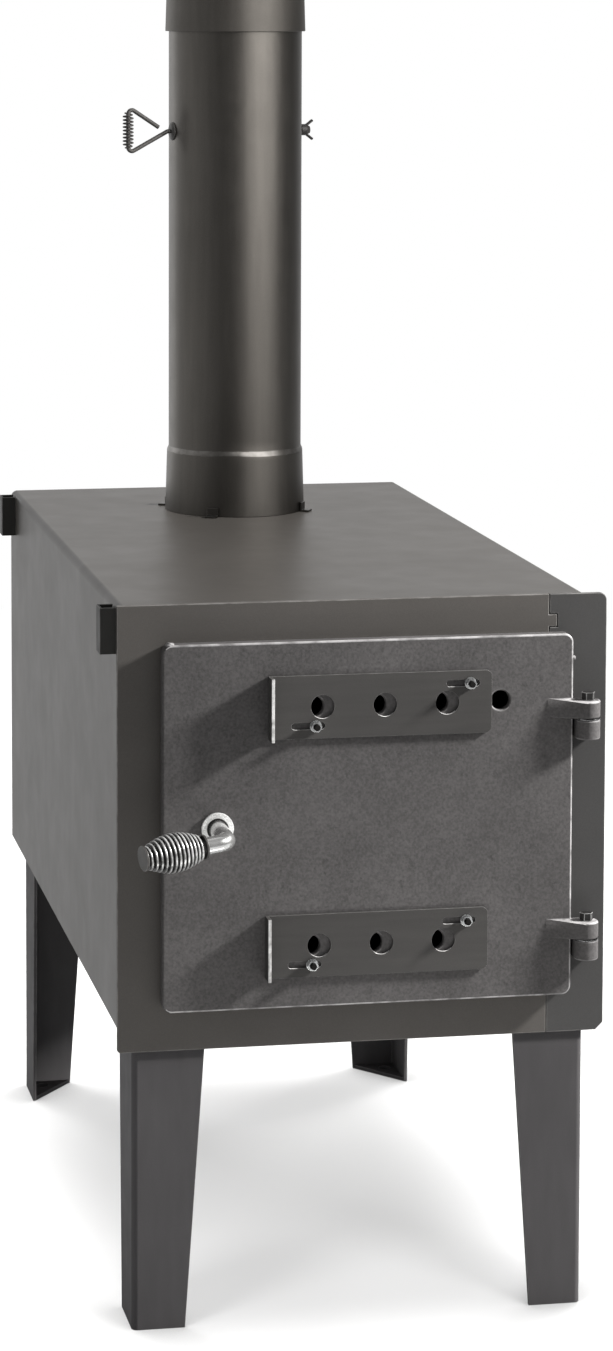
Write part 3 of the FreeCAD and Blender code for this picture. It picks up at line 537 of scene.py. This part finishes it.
@dataclass
class Door(Assembly):
    """The cast door with its vents' fasteners and the stubs left by casting."""

    edge: float = 1.3 * MM
    small_edge: float = 0.35 * MM
    level: float = 0.7
    hinge_side: float = 142.0 * MM
    border: float = 12.0 * MM
    ear_left: float = 120.0 * MM
    tilt: float = 0.2
    hole_wear: float = 0.25
    stub_size: Spot = (3.0 * MM, 2.0 * MM, 1.7 * MM)
    stub_lump: float = 0.18
    stub_waves: Spot = (5.0, 3.0, 4.0)
    stub_wear: float = 0.7
    stubs: tuple[Spot, ...] = ((-0.1235, -0.2515, 0.4512), (0.1412, -0.2515, 0.4350))

    def rub(self, door: bpy.types.Object) -> None:
        """Paints a highlight on the upward faces in front of the door's face, such as the ears' tops, with
        the full pale edge colour, and paints shade on the ears' undersides and the door's left edge by taking
        that colour off; the holes' edges keep less of it.

        Args:
            door: the softened door.
        """
        low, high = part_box("door_plate")
        face_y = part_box("latch_washer")[1].y
        marks = door.data.attributes[WEAR_AND_HIGHLIGHT_MARK].data
        for face in door.data.polygons:
            spot = face.center
            inside = min(spot.x - low.x, self.hinge_side - spot.x, spot.z - low.z, high.z - spot.z)
            under_ear = spot.x > self.ear_left and spot.z > low.z + self.border
            # Painted highlight: upward faces in front of the door's face, such as the ears' tops, take the
            # full pale edge colour
            if face.normal.z > self.level and spot.y < face_y:
                marks[face.index].value = 1.0
            # Painted shade: left-facing faces and the downward faces under the ears lose the pale edge colour
            elif face.normal.x < -self.tilt or (under_ear and face.normal.z < -self.tilt):
                marks[face.index].value = 0.0
            elif inside > self.border:
                marks[face.index].value *= self.hole_wear

    def add_stubs(self) -> None:
        """Adds the rough stubs that casting left on the door's edge."""
        along, across, upward = self.stub_waves
        for index, spot in enumerate(self.stubs):
            work = bmesh.new()
            bmesh.ops.create_icosphere(work, subdivisions=3, radius=1.0)
            for vert in work.verts:
                bump = math.sin(along * vert.co.x + across * vert.co.y + index) * math.cos(upward * vert.co.z)
                sized = Vector(vert.co[axis] * self.stub_size[axis] for axis in range(3))
                vert.co = Vector(spot) + sized * (1 + self.stub_lump * bump)
            stub = mesh_object(work, f"casting_stub_{index}")
            marks = stub.data.attributes.new(WEAR_AND_HIGHLIGHT_MARK, "FLOAT", "FACE").data
            for face in stub.data.polygons:
                marks[face.index].value = self.stub_wear
            self.add(stub, CAST_IRON, Body.DOOR, "door_plate")

    def build(self) -> None:
        """Makes the door's pieces."""
        door = self.soften("door_plate", CAST_IRON, Body.DOOR, self.edge, CAST_SEGMENTS, clamp=False)
        self.rub(door)
        self.add_stubs()
        self.soften("vent_bolts", SHADED_TIP_STEEL, Body.DOOR, self.small_edge)
        self.soften("vent_washers", ZINC, Body.DOOR, self.small_edge / 2)
        self.soften("vent_nuts", ZINC, Body.DOOR, self.small_edge)


@dataclass
class AirVents(Assembly):
    """The two sheet slides over the door's air holes."""

    edge: float = 0.45 * MM
    cut_depth: float = 0.3 * MM
    edge_wear: float = 0.3
    level: float = 0.7
    rim: float = 3.0 * MM

    def build(self) -> None:
        """Makes the slides: the finger tab's cut front edge takes the full pale edge colour, and the slots'
        upward lips take it as a painted highlight.
        """
        for node, body in (("upper_vent_slide", Body.UPPER_VENT), ("lower_vent_slide", Body.LOWER_VENT)):
            piece = self.soften(node, SLIDE_PAINT, body, self.edge)
            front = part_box(node)[0].y
            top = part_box(node)[1].z
            marks = piece.data.attributes[WEAR_AND_HIGHLIGHT_MARK].data
            for face in piece.data.polygons:
                # Painted highlight: upward faces below the top rim, the slots' lower lips, take the full pale
                # edge colour
                lip = face.normal.z > self.level and face.center.z < top - self.rim
                bare_and_highlit = lip or face.center.y < front + self.cut_depth
                marks[face.index].value = 1.0 if bare_and_highlit else marks[face.index].value * self.edge_wear


@dataclass
class Latch(Assembly):
    """The bent latch rod with its coil grip outside and its tongue inside."""

    pivot: Vector = field(default_factory=lambda: Vector((-0.0931, -0.243725, 0.3319)))
    stand_off: float = 49.5 * MM
    flare: float = math.radians(15)
    droop: float = math.radians(-4.7)
    grip_start: float = 19.05 * MM
    grip_length: float = 37.3 * MM
    grip_turns: int = 13
    wire_radius: float = 1.05 * MM
    end_radius: float = 6.6 * MM
    middle_radius: float = 11.6 * MM
    core_radius: float = 4.3 * MM
    rub_from: float = 0.66
    rub_blend: float = 0.35
    seal: Profile = ((5.85 * MM, 0.0), (7.1 * MM, 0.0), (6.8 * MM, 0.6 * MM), (5.85 * MM, 0.6 * MM))
    steps: int = 40
    wire_sides: int = 16
    core_sides: int = 32
    seal_sides: int = 48
    edge: float = 0.4 * MM

    def turned(self) -> Matrix:
        """The turn of the handle about the pivot."""
        return Matrix.Rotation(self.droop, 3, "Y")

    def axis(self) -> Vector:
        """The way the grip points."""
        return self.turned() @ Vector((-math.cos(self.flare), -math.sin(self.flare), 0))

    def on_grip(self, share: float) -> Vector:
        """A point on the grip's axis, at a share of its length."""
        corner = self.pivot + self.turned() @ Vector((0, -self.stand_off, 0))
        return corner + self.axis() * (self.grip_start + self.grip_length * share)

    def rub_outside(self, coil: bpy.types.Object) -> None:
        """Marks the wire's outer side for a painted highlight in the coil's pale edge colour.

        Args:
            coil: the grip's wound wire.
        """
        marks = coil.data.attributes.new(WEAR_AND_HIGHLIGHT_MARK, "FLOAT", "FACE").data
        axis = self.axis()
        for face in coil.data.polygons:
            out = face.center - self.on_grip(0.0)
            out = (out - axis * out.dot(axis)).normalized()
            share = (face.normal.dot(out) - self.rub_from) / self.rub_blend
            marks[face.index].value = min(1.0, max(0.0, share))

    def coil_points(self) -> list[Vector]:
        """The centreline of the barrel-shaped coil.

        Returns:
            Points along the wound wire.
        """
        side = self.turned() @ Vector((0, 0, 1))
        other = self.axis().cross(side)
        points = []
        for step in range(self.steps * self.grip_turns + 1):
            share = step / (self.steps * self.grip_turns)
            angle = 2 * math.pi * share * self.grip_turns
            swell = (self.middle_radius - self.end_radius) * math.sin(math.pi * share)
            out = (side * math.cos(angle) + other * math.sin(angle)) * (self.end_radius + swell)
            points.append(self.on_grip(share) + out)
        return points

    def build(self) -> None:
        """Makes the latch's pieces."""
        coil = tube(self.coil_points(), self.wire_radius, self.wire_sides, "coil_grip")
        self.rub_outside(coil)
        self.add(coil, COIL_STEEL_WITH_HIGHLIGHT, Body.LATCH, "handle_coil")
        # Painted shade: a dark core along the coil's axis keeps the gaps between the turns black
        ends = [self.on_grip(share) for share in (0.0, 1.0)]
        shade_core = tube(ends, self.core_radius, self.core_sides, "grip_core")
        self.add(shade_core, DARK_STEEL, Body.LATCH, "latch_rod")
        self.soften("latch_rod", ZINC_WHITE, Body.LATCH, self.edge)
        self.soften("latch_washer", WASHER_ZINC_PAINTED_SHINE, Body.LATCH, self.edge)
        # Painted shadow: a thin near-black ring on the washer's face round the rod, where the washer's hole
        # is in shade
        face = Vector((self.pivot.x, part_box("latch_washer")[0].y, self.pivot.z))
        seat = Matrix.Translation(face) @ Matrix.Rotation(math.pi / 2, 4, "X")
        ring = lathe(self.seal, seat, self.seal_sides, "rod_seal")
        self.add(ring, SOOT_STEEL, Body.LATCH, "latch_washer")
        for node in ("handle_stops", "latch_spacer", "latch_tongue", "latch_nut"):
            self.soften(node, DARK_STEEL, Body.LATCH, self.edge)


@dataclass
class Flue(Assembly):
    """Two pipe sections with flared lower ends, over a spigot held by four tabs."""

    radius: float = 50.0 * MM
    wall: float = 0.8 * MM
    length: float = 406.0 * MM
    flare_length: float = 45.0 * MM
    shoulder: float = 4.0 * MM
    mouth_radius: float = 52.6 * MM
    flare_radius: float = 51.3 * MM
    rim: float = 0.2 * MM
    lip: tuple[float, float] = (0.3 * MM, 1.2 * MM)
    flare_shares: tuple[float, ...] = (0.25, 0.5, 0.75, 0.94)
    wall_shares: tuple[float, ...] = (0.02, 0.25, 0.5, 0.75, 0.99)
    shoulder_steps: int = 8
    wave: float = 1.0 * MM
    wave_reach: float = 12.0 * MM
    ripples: tuple[tuple[float, int, float], ...] = ((1.0, 3, 0.6), (0.6, 7, 2.0))
    seam_at: float = math.pi / 2
    seam_height: float = 0.7 * MM
    seam_half: float = math.radians(4)
    sides: int = 180
    edge: float = 0.4 * MM

    def profile(self) -> list[tuple[float, float]]:
        """The pipe's outline: up the outside from its mouth, and down the inside.

        Returns:
            Radius and height of each point.
        """
        top = self.flare_length + self.shoulder
        widen = self.flare_radius - self.mouth_radius
        outer = [(self.mouth_radius - self.rim, 0.0)]
        outer += [(self.mouth_radius, height) for height in self.lip]
        outer += [(self.mouth_radius + widen * share, self.flare_length * share)
                  for share in self.flare_shares]
        for index in range(self.shoulder_steps + 1):
            share = index / self.shoulder_steps
            ease = share * share * (3 - 2 * share)
            radius = self.flare_radius - (self.flare_radius - self.radius) * ease
            outer.append((radius, self.flare_length + self.shoulder * share))
        outer += [(self.radius, top + (self.length - top) * share) for share in self.wall_shares]
        outer += [(self.radius, self.length - self.rim), (self.radius - self.rim, self.length)]
        inner = [(self.radius - self.wall, self.length)]
        inner += [(radius - self.wall, height) for radius, height in reversed(outer[1:-1])]
        return outer + inner + [(self.mouth_radius - self.wall, 0.0)]

    def hand_made(self, angle: float, radius: float, height: float) -> tuple[float, float]:
        """Waves the shoulder a little and raises a lock seam at the back.

        Args:
            angle: the point's angle about the pipe.
            radius: its radius on the even pipe.
            height: its height on the even pipe.

        Returns:
            The point's own radius and height.
        """
        away = abs(height - self.flare_length - self.shoulder / 2)
        near = max(0.0, 1 - away / self.wave_reach)
        ripple = sum(share * math.sin(count * angle + begin) for share, count, begin in self.ripples)
        rise = self.wave * near * ripple / sum(share for share, _, _ in self.ripples)
        away = abs(math.remainder(angle - self.seam_at, 2 * math.pi))
        seam = self.seam_height if away < self.seam_half and height > self.flare_length else 0.0
        return radius + seam, height + rise

    def build(self) -> None:
        """Makes the pipes, the spigot and the tabs."""
        for node, finish in zip(FLUE_NODES, (PIPE_PAINT, UPPER_PIPE_PAINT)):
            low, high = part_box(node)
            foot = Vector(((low.x + high.x) / 2, (low.y + high.y) / 2, low.z))
            stand = Matrix.Translation(foot)
            pipe = lathe(self.profile(), stand, self.sides, f"{node}_section", self.hand_made)
            # Painted highlight: the shoulder's faces take the pipe's pale edge colour
            marks = pipe.data.attributes.new(WEAR_AND_HIGHLIGHT_MARK, "FLOAT", "FACE").data
            for face in pipe.data.polygons:
                height = face.center.z - low.z - self.flare_length
                marks[face.index].value = 1.0 if 0 < height < self.shoulder else 0.0
            self.add(pipe, finish, Body.STOVE, node)
        self.soften("flue_spigot", PIPE_PAINT, Body.STOVE, self.edge)
        self.soften("pipe_tabs", PIPE_PAINT, Body.STOVE, self.edge)


@dataclass
class Damper(Assembly):
    """The damper's disc, wire shaft and handle, with its washers and wing nut."""

    centre: Vector = field(default_factory=lambda: Vector((-0.00125, 0.189275, 0.7624)))
    yaw: float = math.radians(10)
    leg_reach: float = 85.0 * MM
    grip_low: float = -12.0 * MM
    grip_length: float = 26.0 * MM
    grip_turns: int = 10
    grip_radius: float = 3.6 * MM
    grip_end: float = 2.2 * MM
    wire_radius: float = 0.6 * MM
    wire_sides: int = 8
    steps: int = 24
    bush_near: float = 50.1 * MM
    bush_bore: float = 1.66 * MM
    bush_radius: float = 6.8 * MM
    bush_dome: float = 2.0 * MM
    bush_fall: float = 0.75
    bush_steps: int = 8
    bush_sides: int = 48
    hub_near: float = 52.3 * MM
    hub_profile: Profile = ((1.75 * MM, 0.0), (4.0 * MM, 0.0), (4.3 * MM, 0.5 * MM), (4.3 * MM, 4.4 * MM),
                            (3.3 * MM, 6.2 * MM), (2.9 * MM, 7.4 * MM), (1.75 * MM, 7.4 * MM))
    hub_sides: int = 40
    wing_line: Profile = ((54.4 * MM, 1.4 * MM), (58.5 * MM, 4.3 * MM), (61.8 * MM, 6.8 * MM),
                          (62.2 * MM, 7.1 * MM))
    wing_sides: int = 16
    wing_radius: float = 1.0 * MM
    wing_widen: float = 2.0
    edge: float = 0.25 * MM

    def placed(self, x: float, y: float, z: float) -> Vector:
        """A point from the damper's own axes to the stove's."""
        return self.centre + Matrix.Rotation(self.yaw, 3, "Z") @ Vector((x, y, z))

    def coil_points(self) -> list[Vector]:
        """The centreline of the small coil on the handle's upright leg.

        Returns:
            Points along the wound wire.
        """
        points = []
        for step in range(self.steps * self.grip_turns + 1):
            share = step / (self.steps * self.grip_turns)
            angle = math.pi + 2 * math.pi * share * self.grip_turns
            inward = min(1.0, share * self.grip_turns, (1 - share) * self.grip_turns)
            radius = self.grip_end + (self.grip_radius - self.grip_end) * inward
            x = radius * math.cos(angle) - self.leg_reach
            points.append(self.placed(x, radius * math.sin(angle), self.grip_low + self.grip_length * share))
        return points

    def bush_profile(self) -> list[tuple[float, float]]:
        """The outline of a domed washer, from its bore out over the dome to its rim.

        Returns:
            Radius and height of each point.
        """
        dome = []
        for index in range(self.bush_steps + 1):
            share = index / self.bush_steps
            radius = self.bush_bore + (self.bush_radius - self.bush_bore) * share
            dome.append((radius, self.bush_dome * (1 - self.bush_fall * share ** 3)))
        return dome + [(self.bush_radius, 0.0), (self.bush_bore, 0.0)]

    def add_wing_nut(self) -> None:
        """Adds the wing nut: a round hub and two thin wings."""
        outward = Matrix.Rotation(self.yaw, 4, "Z") @ Matrix.Rotation(math.pi / 2, 4, "Y")
        foot = Matrix.Translation(self.placed(self.hub_near, 0, 0))
        hub = lathe(self.hub_profile, foot @ outward, self.hub_sides, "wing_nut_hub")
        self.add(hub, SOOT_STEEL, Body.DAMPER, "damper_wing_nut")
        for side, name in ((-1, "lower_wing"), (1, "upper_wing")):
            ends = [self.placed(x, 0, side * z) for x, z in self.wing_line]
            wing = tube(ends, self.wing_radius, self.wing_sides, name)
            for vert in wing.data.vertices:
                spot = Matrix.Rotation(-self.yaw, 3, "Z") @ (vert.co - self.centre)
                vert.co = self.placed(spot.x, spot.y * self.wing_widen, spot.z)
            self.add(wing, SOOT_STEEL, Body.DAMPER, "damper_wing_nut")

    def build(self) -> None:
        """Makes the damper's pieces."""
        coil = tube(self.coil_points(), self.wire_radius, self.wire_sides, "damper_coil")
        self.add(coil, DARK_STEEL, Body.DAMPER, "damper_grip")
        for side, name in ((-1, "left_damper_bush"), (1, "right_damper_bush")):
            outward = Matrix.Rotation(self.yaw, 4, "Z") @ Matrix.Rotation(side * math.pi / 2, 4, "Y")
            foot = Matrix.Translation(self.placed(side * self.bush_near, 0, 0))
            bush = lathe(self.bush_profile(), foot @ outward, self.bush_sides, name)
            self.add(bush, DARK_STEEL, Body.STOVE, "damper_bushes")
        self.soften("damper_shaft", DARK_STEEL, Body.DAMPER, self.edge)
        self.add_wing_nut()
        self.soften("damper_plate", BARE_STEEL, Body.DAMPER, self.edge)


@dataclass
class Legs(Assembly):
    """Four angle legs with their foot plates, top plates and bolts."""

    edge: float = 0.5 * MM

    def build(self) -> None:
        """Makes the legs' pieces."""
        for node in ("front_left_leg", "front_right_leg", "rear_left_leg", "rear_right_leg", "foot_plates",
                     "leg_top_plates"):
            self.soften(node, LEG_PAINT, Body.STOVE, self.edge)
        for node in ("leg_bolts", "leg_nuts"):
            self.soften(node, ZINC, Body.STOVE, self.edge)


@dataclass(frozen=True)
class SoftBox:
    """One soft studio lamp."""

    name: str
    place: Spot
    aim: Spot
    size: tuple[float, float]
    watts: float
    colour: Colour = (1.0, 1.0, 1.0)
    flagged: tuple[str, ...] = ()
    unlit: tuple[str, ...] = ()
    only: tuple[str, ...] = ()
    mirrored: bool = True

    def build(self) -> bpy.types.Object:
        """Makes the lamp.

        Returns:
            The lamp's object.
        """
        lamp = bpy.data.lights.new(self.name, "AREA")
        lamp.shape = "RECTANGLE"
        lamp.size, lamp.size_y = self.size
        lamp.energy = self.watts
        lamp.color = self.colour
        made = bpy.data.objects.new(self.name, lamp)
        made.location = self.place
        made.visible_camera = False
        made.visible_glossy = self.mirrored
        made.rotation_euler = (Vector(self.aim) - Vector(self.place)).to_track_quat("-Z", "Y").to_euler()
        bpy.context.scene.collection.objects.link(made)
        return made

    def lights(self, names: set[str]) -> bool:
        """Whether a piece that goes by these names takes the lamp's light."""
        return bool(names & set(self.only)) if self.only else not names & set(self.unlit)

    def flag(self, lamp: bpy.types.Object) -> None:
        """Keeps the lamp off the flagged pieces, or on a few alone, as a studio flag or snoot would.

        Args:
            lamp: the lamp's object.
        """
        if not self.flagged and not self.only:
            return
        lit = bpy.data.collections.new(f"{self.name}_lit")
        shading = bpy.data.collections.new(f"{self.name}_shading")
        for piece in bpy.context.scene.objects:
            names = {piece.name, *piece.get("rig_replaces", [])}
            if piece.type != "MESH" or names & set(self.flagged):
                continue
            shading.objects.link(piece)
            if self.lights(names):
                lit.objects.link(piece)
        lamp.light_linking.receiver_collection = lit
        if self.flagged:
            lamp.light_linking.blocker_collection = shading


@dataclass
class Studio:
    """The camera at the photograph's angle, the pale floor, the lamps and the white surround."""

    camera_place: Spot = (-0.5031, -2.5583, 0.8654)
    yaw: float = math.radians(10.414)
    pitch: float = math.radians(4.728)
    roll: float = math.radians(0.104)
    lens: float = 98.839
    sensor: float = 36.0
    shift: tuple[float, float] = (0.05, -0.278)
    floor_half: float = 12.0
    floor_colour: Colour = (0.86, 0.855, 0.85)
    floor_bounce: Colour = (0.31, 0.31, 0.31)
    floor_glow: float = 0.43
    contact_reach: float = 40.0 * MM
    contact_open: float = 0.5
    contact_shade: float = 0.7
    contact_samples: int = 4
    floor_rough: float = 0.9
    fade: tuple[float, float] = (0.9, 2.6)
    ambient: float = 0.36
    dim: float = 0.15
    dim_side: Spot = (0.629, -0.777, 0.0)
    dim_from: tuple[float, float] = (-0.65, 0.27)
    lamps: tuple[SoftBox, ...] = (
        SoftBox("key", (2.481, -0.874, 1.717), (0.0, -0.1, 0.35), (0.28, 0.28), 250.0, (1.0, 0.99, 0.97),
                flagged=(*FLUE_NODES, *FLUE_INSIDE, *SLEEVES, *FLOOR), unlit=(*FRONT_NODES, "foot_plates"),
                mirrored=False),
        SoftBox("front_key", (1.2, -0.5165, 1.12), (0.0, -0.25, 0.33), (0.18, 0.18), 72.0, (1.0, 0.99, 0.98),
                only=FRONT_NODES),
        SoftBox("front_bounce", (0.0, -0.5, 0.02), (0.0, -0.25, 0.2), (0.6, 0.08), 0.6, (1.0, 0.98, 0.95),
                only=FRONT_NODES),
        SoftBox("pipe_strip", (0.876, -1.025, 1.4), (0.0, 0.18, 0.9), (1.6, 1.7), 55.0, (1.0, 0.985, 0.97),
                only=FLUE_AND_DAMPER),
        SoftBox("pipe_rim", (-0.9, 1.38, 1.1), (0.0, 0.19, 0.9), (0.5, 1.7), 3.0, (1.0, 0.985, 0.97),
                only=FLUE_AND_DAMPER),
        SoftBox("rear_fill", (0.6, 2.4, 1.6), (0.0, 0.3, 0.35), (1.2, 1.2), 30.0, only=("rear_panel",)),
        SoftBox("left_fill", (-2.4, 0.5, 1.2), (0.0, 0.0, 0.35), (1.6, 1.6), 5.0, only=("body_wrap",)),
        SoftBox("floor_lamp", (0.1, 0.2, 3.2), FLOOR_AIM, (1.8, 1.8), 180.0, only=FLOOR),
        *(SoftBox(name, place, FLOOR_AIM, CORNER_SIZE, watts, only=FLOOR)
          for name, place, watts in CORNER_LAMPS),
    )

    def build_camera(self) -> None:
        """Stands the camera where the photograph was taken from."""
        across = Vector((math.cos(self.yaw), -math.sin(self.yaw), 0))
        level = Vector((math.sin(self.yaw), math.cos(self.yaw), 0))
        ahead = level * math.cos(self.pitch) - Vector((0, 0, math.sin(self.pitch)))
        above = level * math.sin(self.pitch) + Vector((0, 0, math.cos(self.pitch)))
        right = across * math.cos(self.roll) + above * math.sin(self.roll)
        up = above * math.cos(self.roll) - across * math.sin(self.roll)
        data = bpy.data.cameras.new("camera")
        data.lens = self.lens
        data.sensor_width = self.sensor
        data.shift_x, data.shift_y = self.shift
        camera = bpy.data.objects.new("camera", data)
        turned = Matrix((right, up, -ahead)).transposed().to_4x4()
        camera.matrix_world = Matrix.Translation(self.camera_place) @ turned
        bpy.context.scene.collection.objects.link(camera)
        bpy.context.scene.camera = camera

    def mirrored(self, nodes: NodeTree, heading: bpy.types.NodeSocket) -> bpy.types.NodeSocket:
        """How bright the surround is in a reflection: full, and dim on one side.

        Args:
            nodes: the tree that gets the nodes.
            heading: where the reflection looks.

        Returns:
            The brightness, from dim to 1.
        """
        inputs = {0: heading, 1: self.dim_side}
        toward = nodes.add("ShaderNodeVectorMath", inputs, "Value", operation="DOT_PRODUCT")
        return nodes.spread(toward, *self.dim_from, 1.0, self.dim)

    def build_floor(self) -> None:
        """Lays the floor, which keeps the shadows, is shaded where feet stand and fades to white far off."""
        half = self.floor_half
        work = bmesh.new()
        corners = ((-half, -half, 0), (half, -half, 0), (half, half, 0), (-half, half, 0))
        work.faces.new([work.verts.new(spot) for spot in corners])
        floor = mesh_object(work, "floor")
        nodes = MaterialTree("floor")
        camera = nodes.ray("Camera")
        colour = nodes.mixed(camera, (*self.floor_bounce, 1.0), (*self.floor_colour, 1.0))
        open_sky = nodes.add("ShaderNodeAmbientOcclusion", {"Distance": self.contact_reach}, "AO",
                             samples=self.contact_samples)
        contact = nodes.spread(open_sky, self.contact_open, 1.0, self.contact_shade, 1.0)
        nodes.link(nodes.mixed(1.0, colour, contact, "MULTIPLY"), "Base Color")
        nodes.shader.inputs["Roughness"].default_value = self.floor_rough
        nodes.shader.inputs["Specular IOR Level"].default_value = 0.0
        glow = nodes.add("ShaderNodeEmission", {"Color": WHITE, "Strength": contact})
        distance = nodes.add("ShaderNodeVectorMath", {0: nodes.place}, "Value", operation="LENGTH")
        far = nodes.spread(distance, *self.fade, self.floor_glow, 1.0)
        heading = nodes.add("ShaderNodeVectorMath", {0: nodes.place}, operation="NORMALIZE")
        mirrored = nodes.times(self.mirrored(nodes, heading), nodes.seen())
        share = nodes.times(far, nodes.times(camera, mirrored, "MAXIMUM"))
        mix = nodes.add("ShaderNodeMixShader", {0: share, 1: nodes.shader.outputs[0], 2: glow})
        nodes.tree.links.new(mix, nodes.tree.nodes["Material Output"].inputs["Surface"])
        floor.data.materials.append(nodes.material)

    def build_surround(self) -> None:
        """Makes the surround white to the eye and in reflections, and a dim fill for the rest."""
        world = bpy.data.worlds.new("surround")
        world.use_nodes = True
        bpy.context.scene.world = world
        nodes = NodeTree(world.node_tree)
        heading = nodes.add("ShaderNodeTexCoord", {}, "Generated")
        bright = nodes.times(self.mirrored(nodes, heading), nodes.ray("Camera"), "MAXIMUM")
        strength = nodes.spread(nodes.seen(), 0.0, 1.0, self.ambient, bright)
        background = nodes.tree.nodes["Background"]
        background.inputs["Color"].default_value = WHITE
        nodes.tree.links.new(strength, background.inputs["Strength"])

    def build(self) -> None:
        """Builds the whole studio."""
        bpy.context.scene.view_settings.view_transform = "Standard"
        self.build_camera()
        self.build_floor()
        self.build_surround()
        for lamp in self.lamps:
            lamp.flag(lamp.build())


def main() -> None:
    """Loads the frame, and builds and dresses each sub-assembly."""
    logging.basicConfig(level=logging.INFO, format="%(name)s %(message)s")
    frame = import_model()
    for kind in (Firebox, FrontFrame, Door, AirVents, Latch, Flue, Damper, Legs):
        assembly = kind(frame)
        assembly.build()
        assembly.dress()
        LOG.info("%s: %d pieces", kind.__name__, len(assembly.pieces))
    Studio().build()
    bpy.context.view_layer.update()


if __name__ == "__main__":
    main()
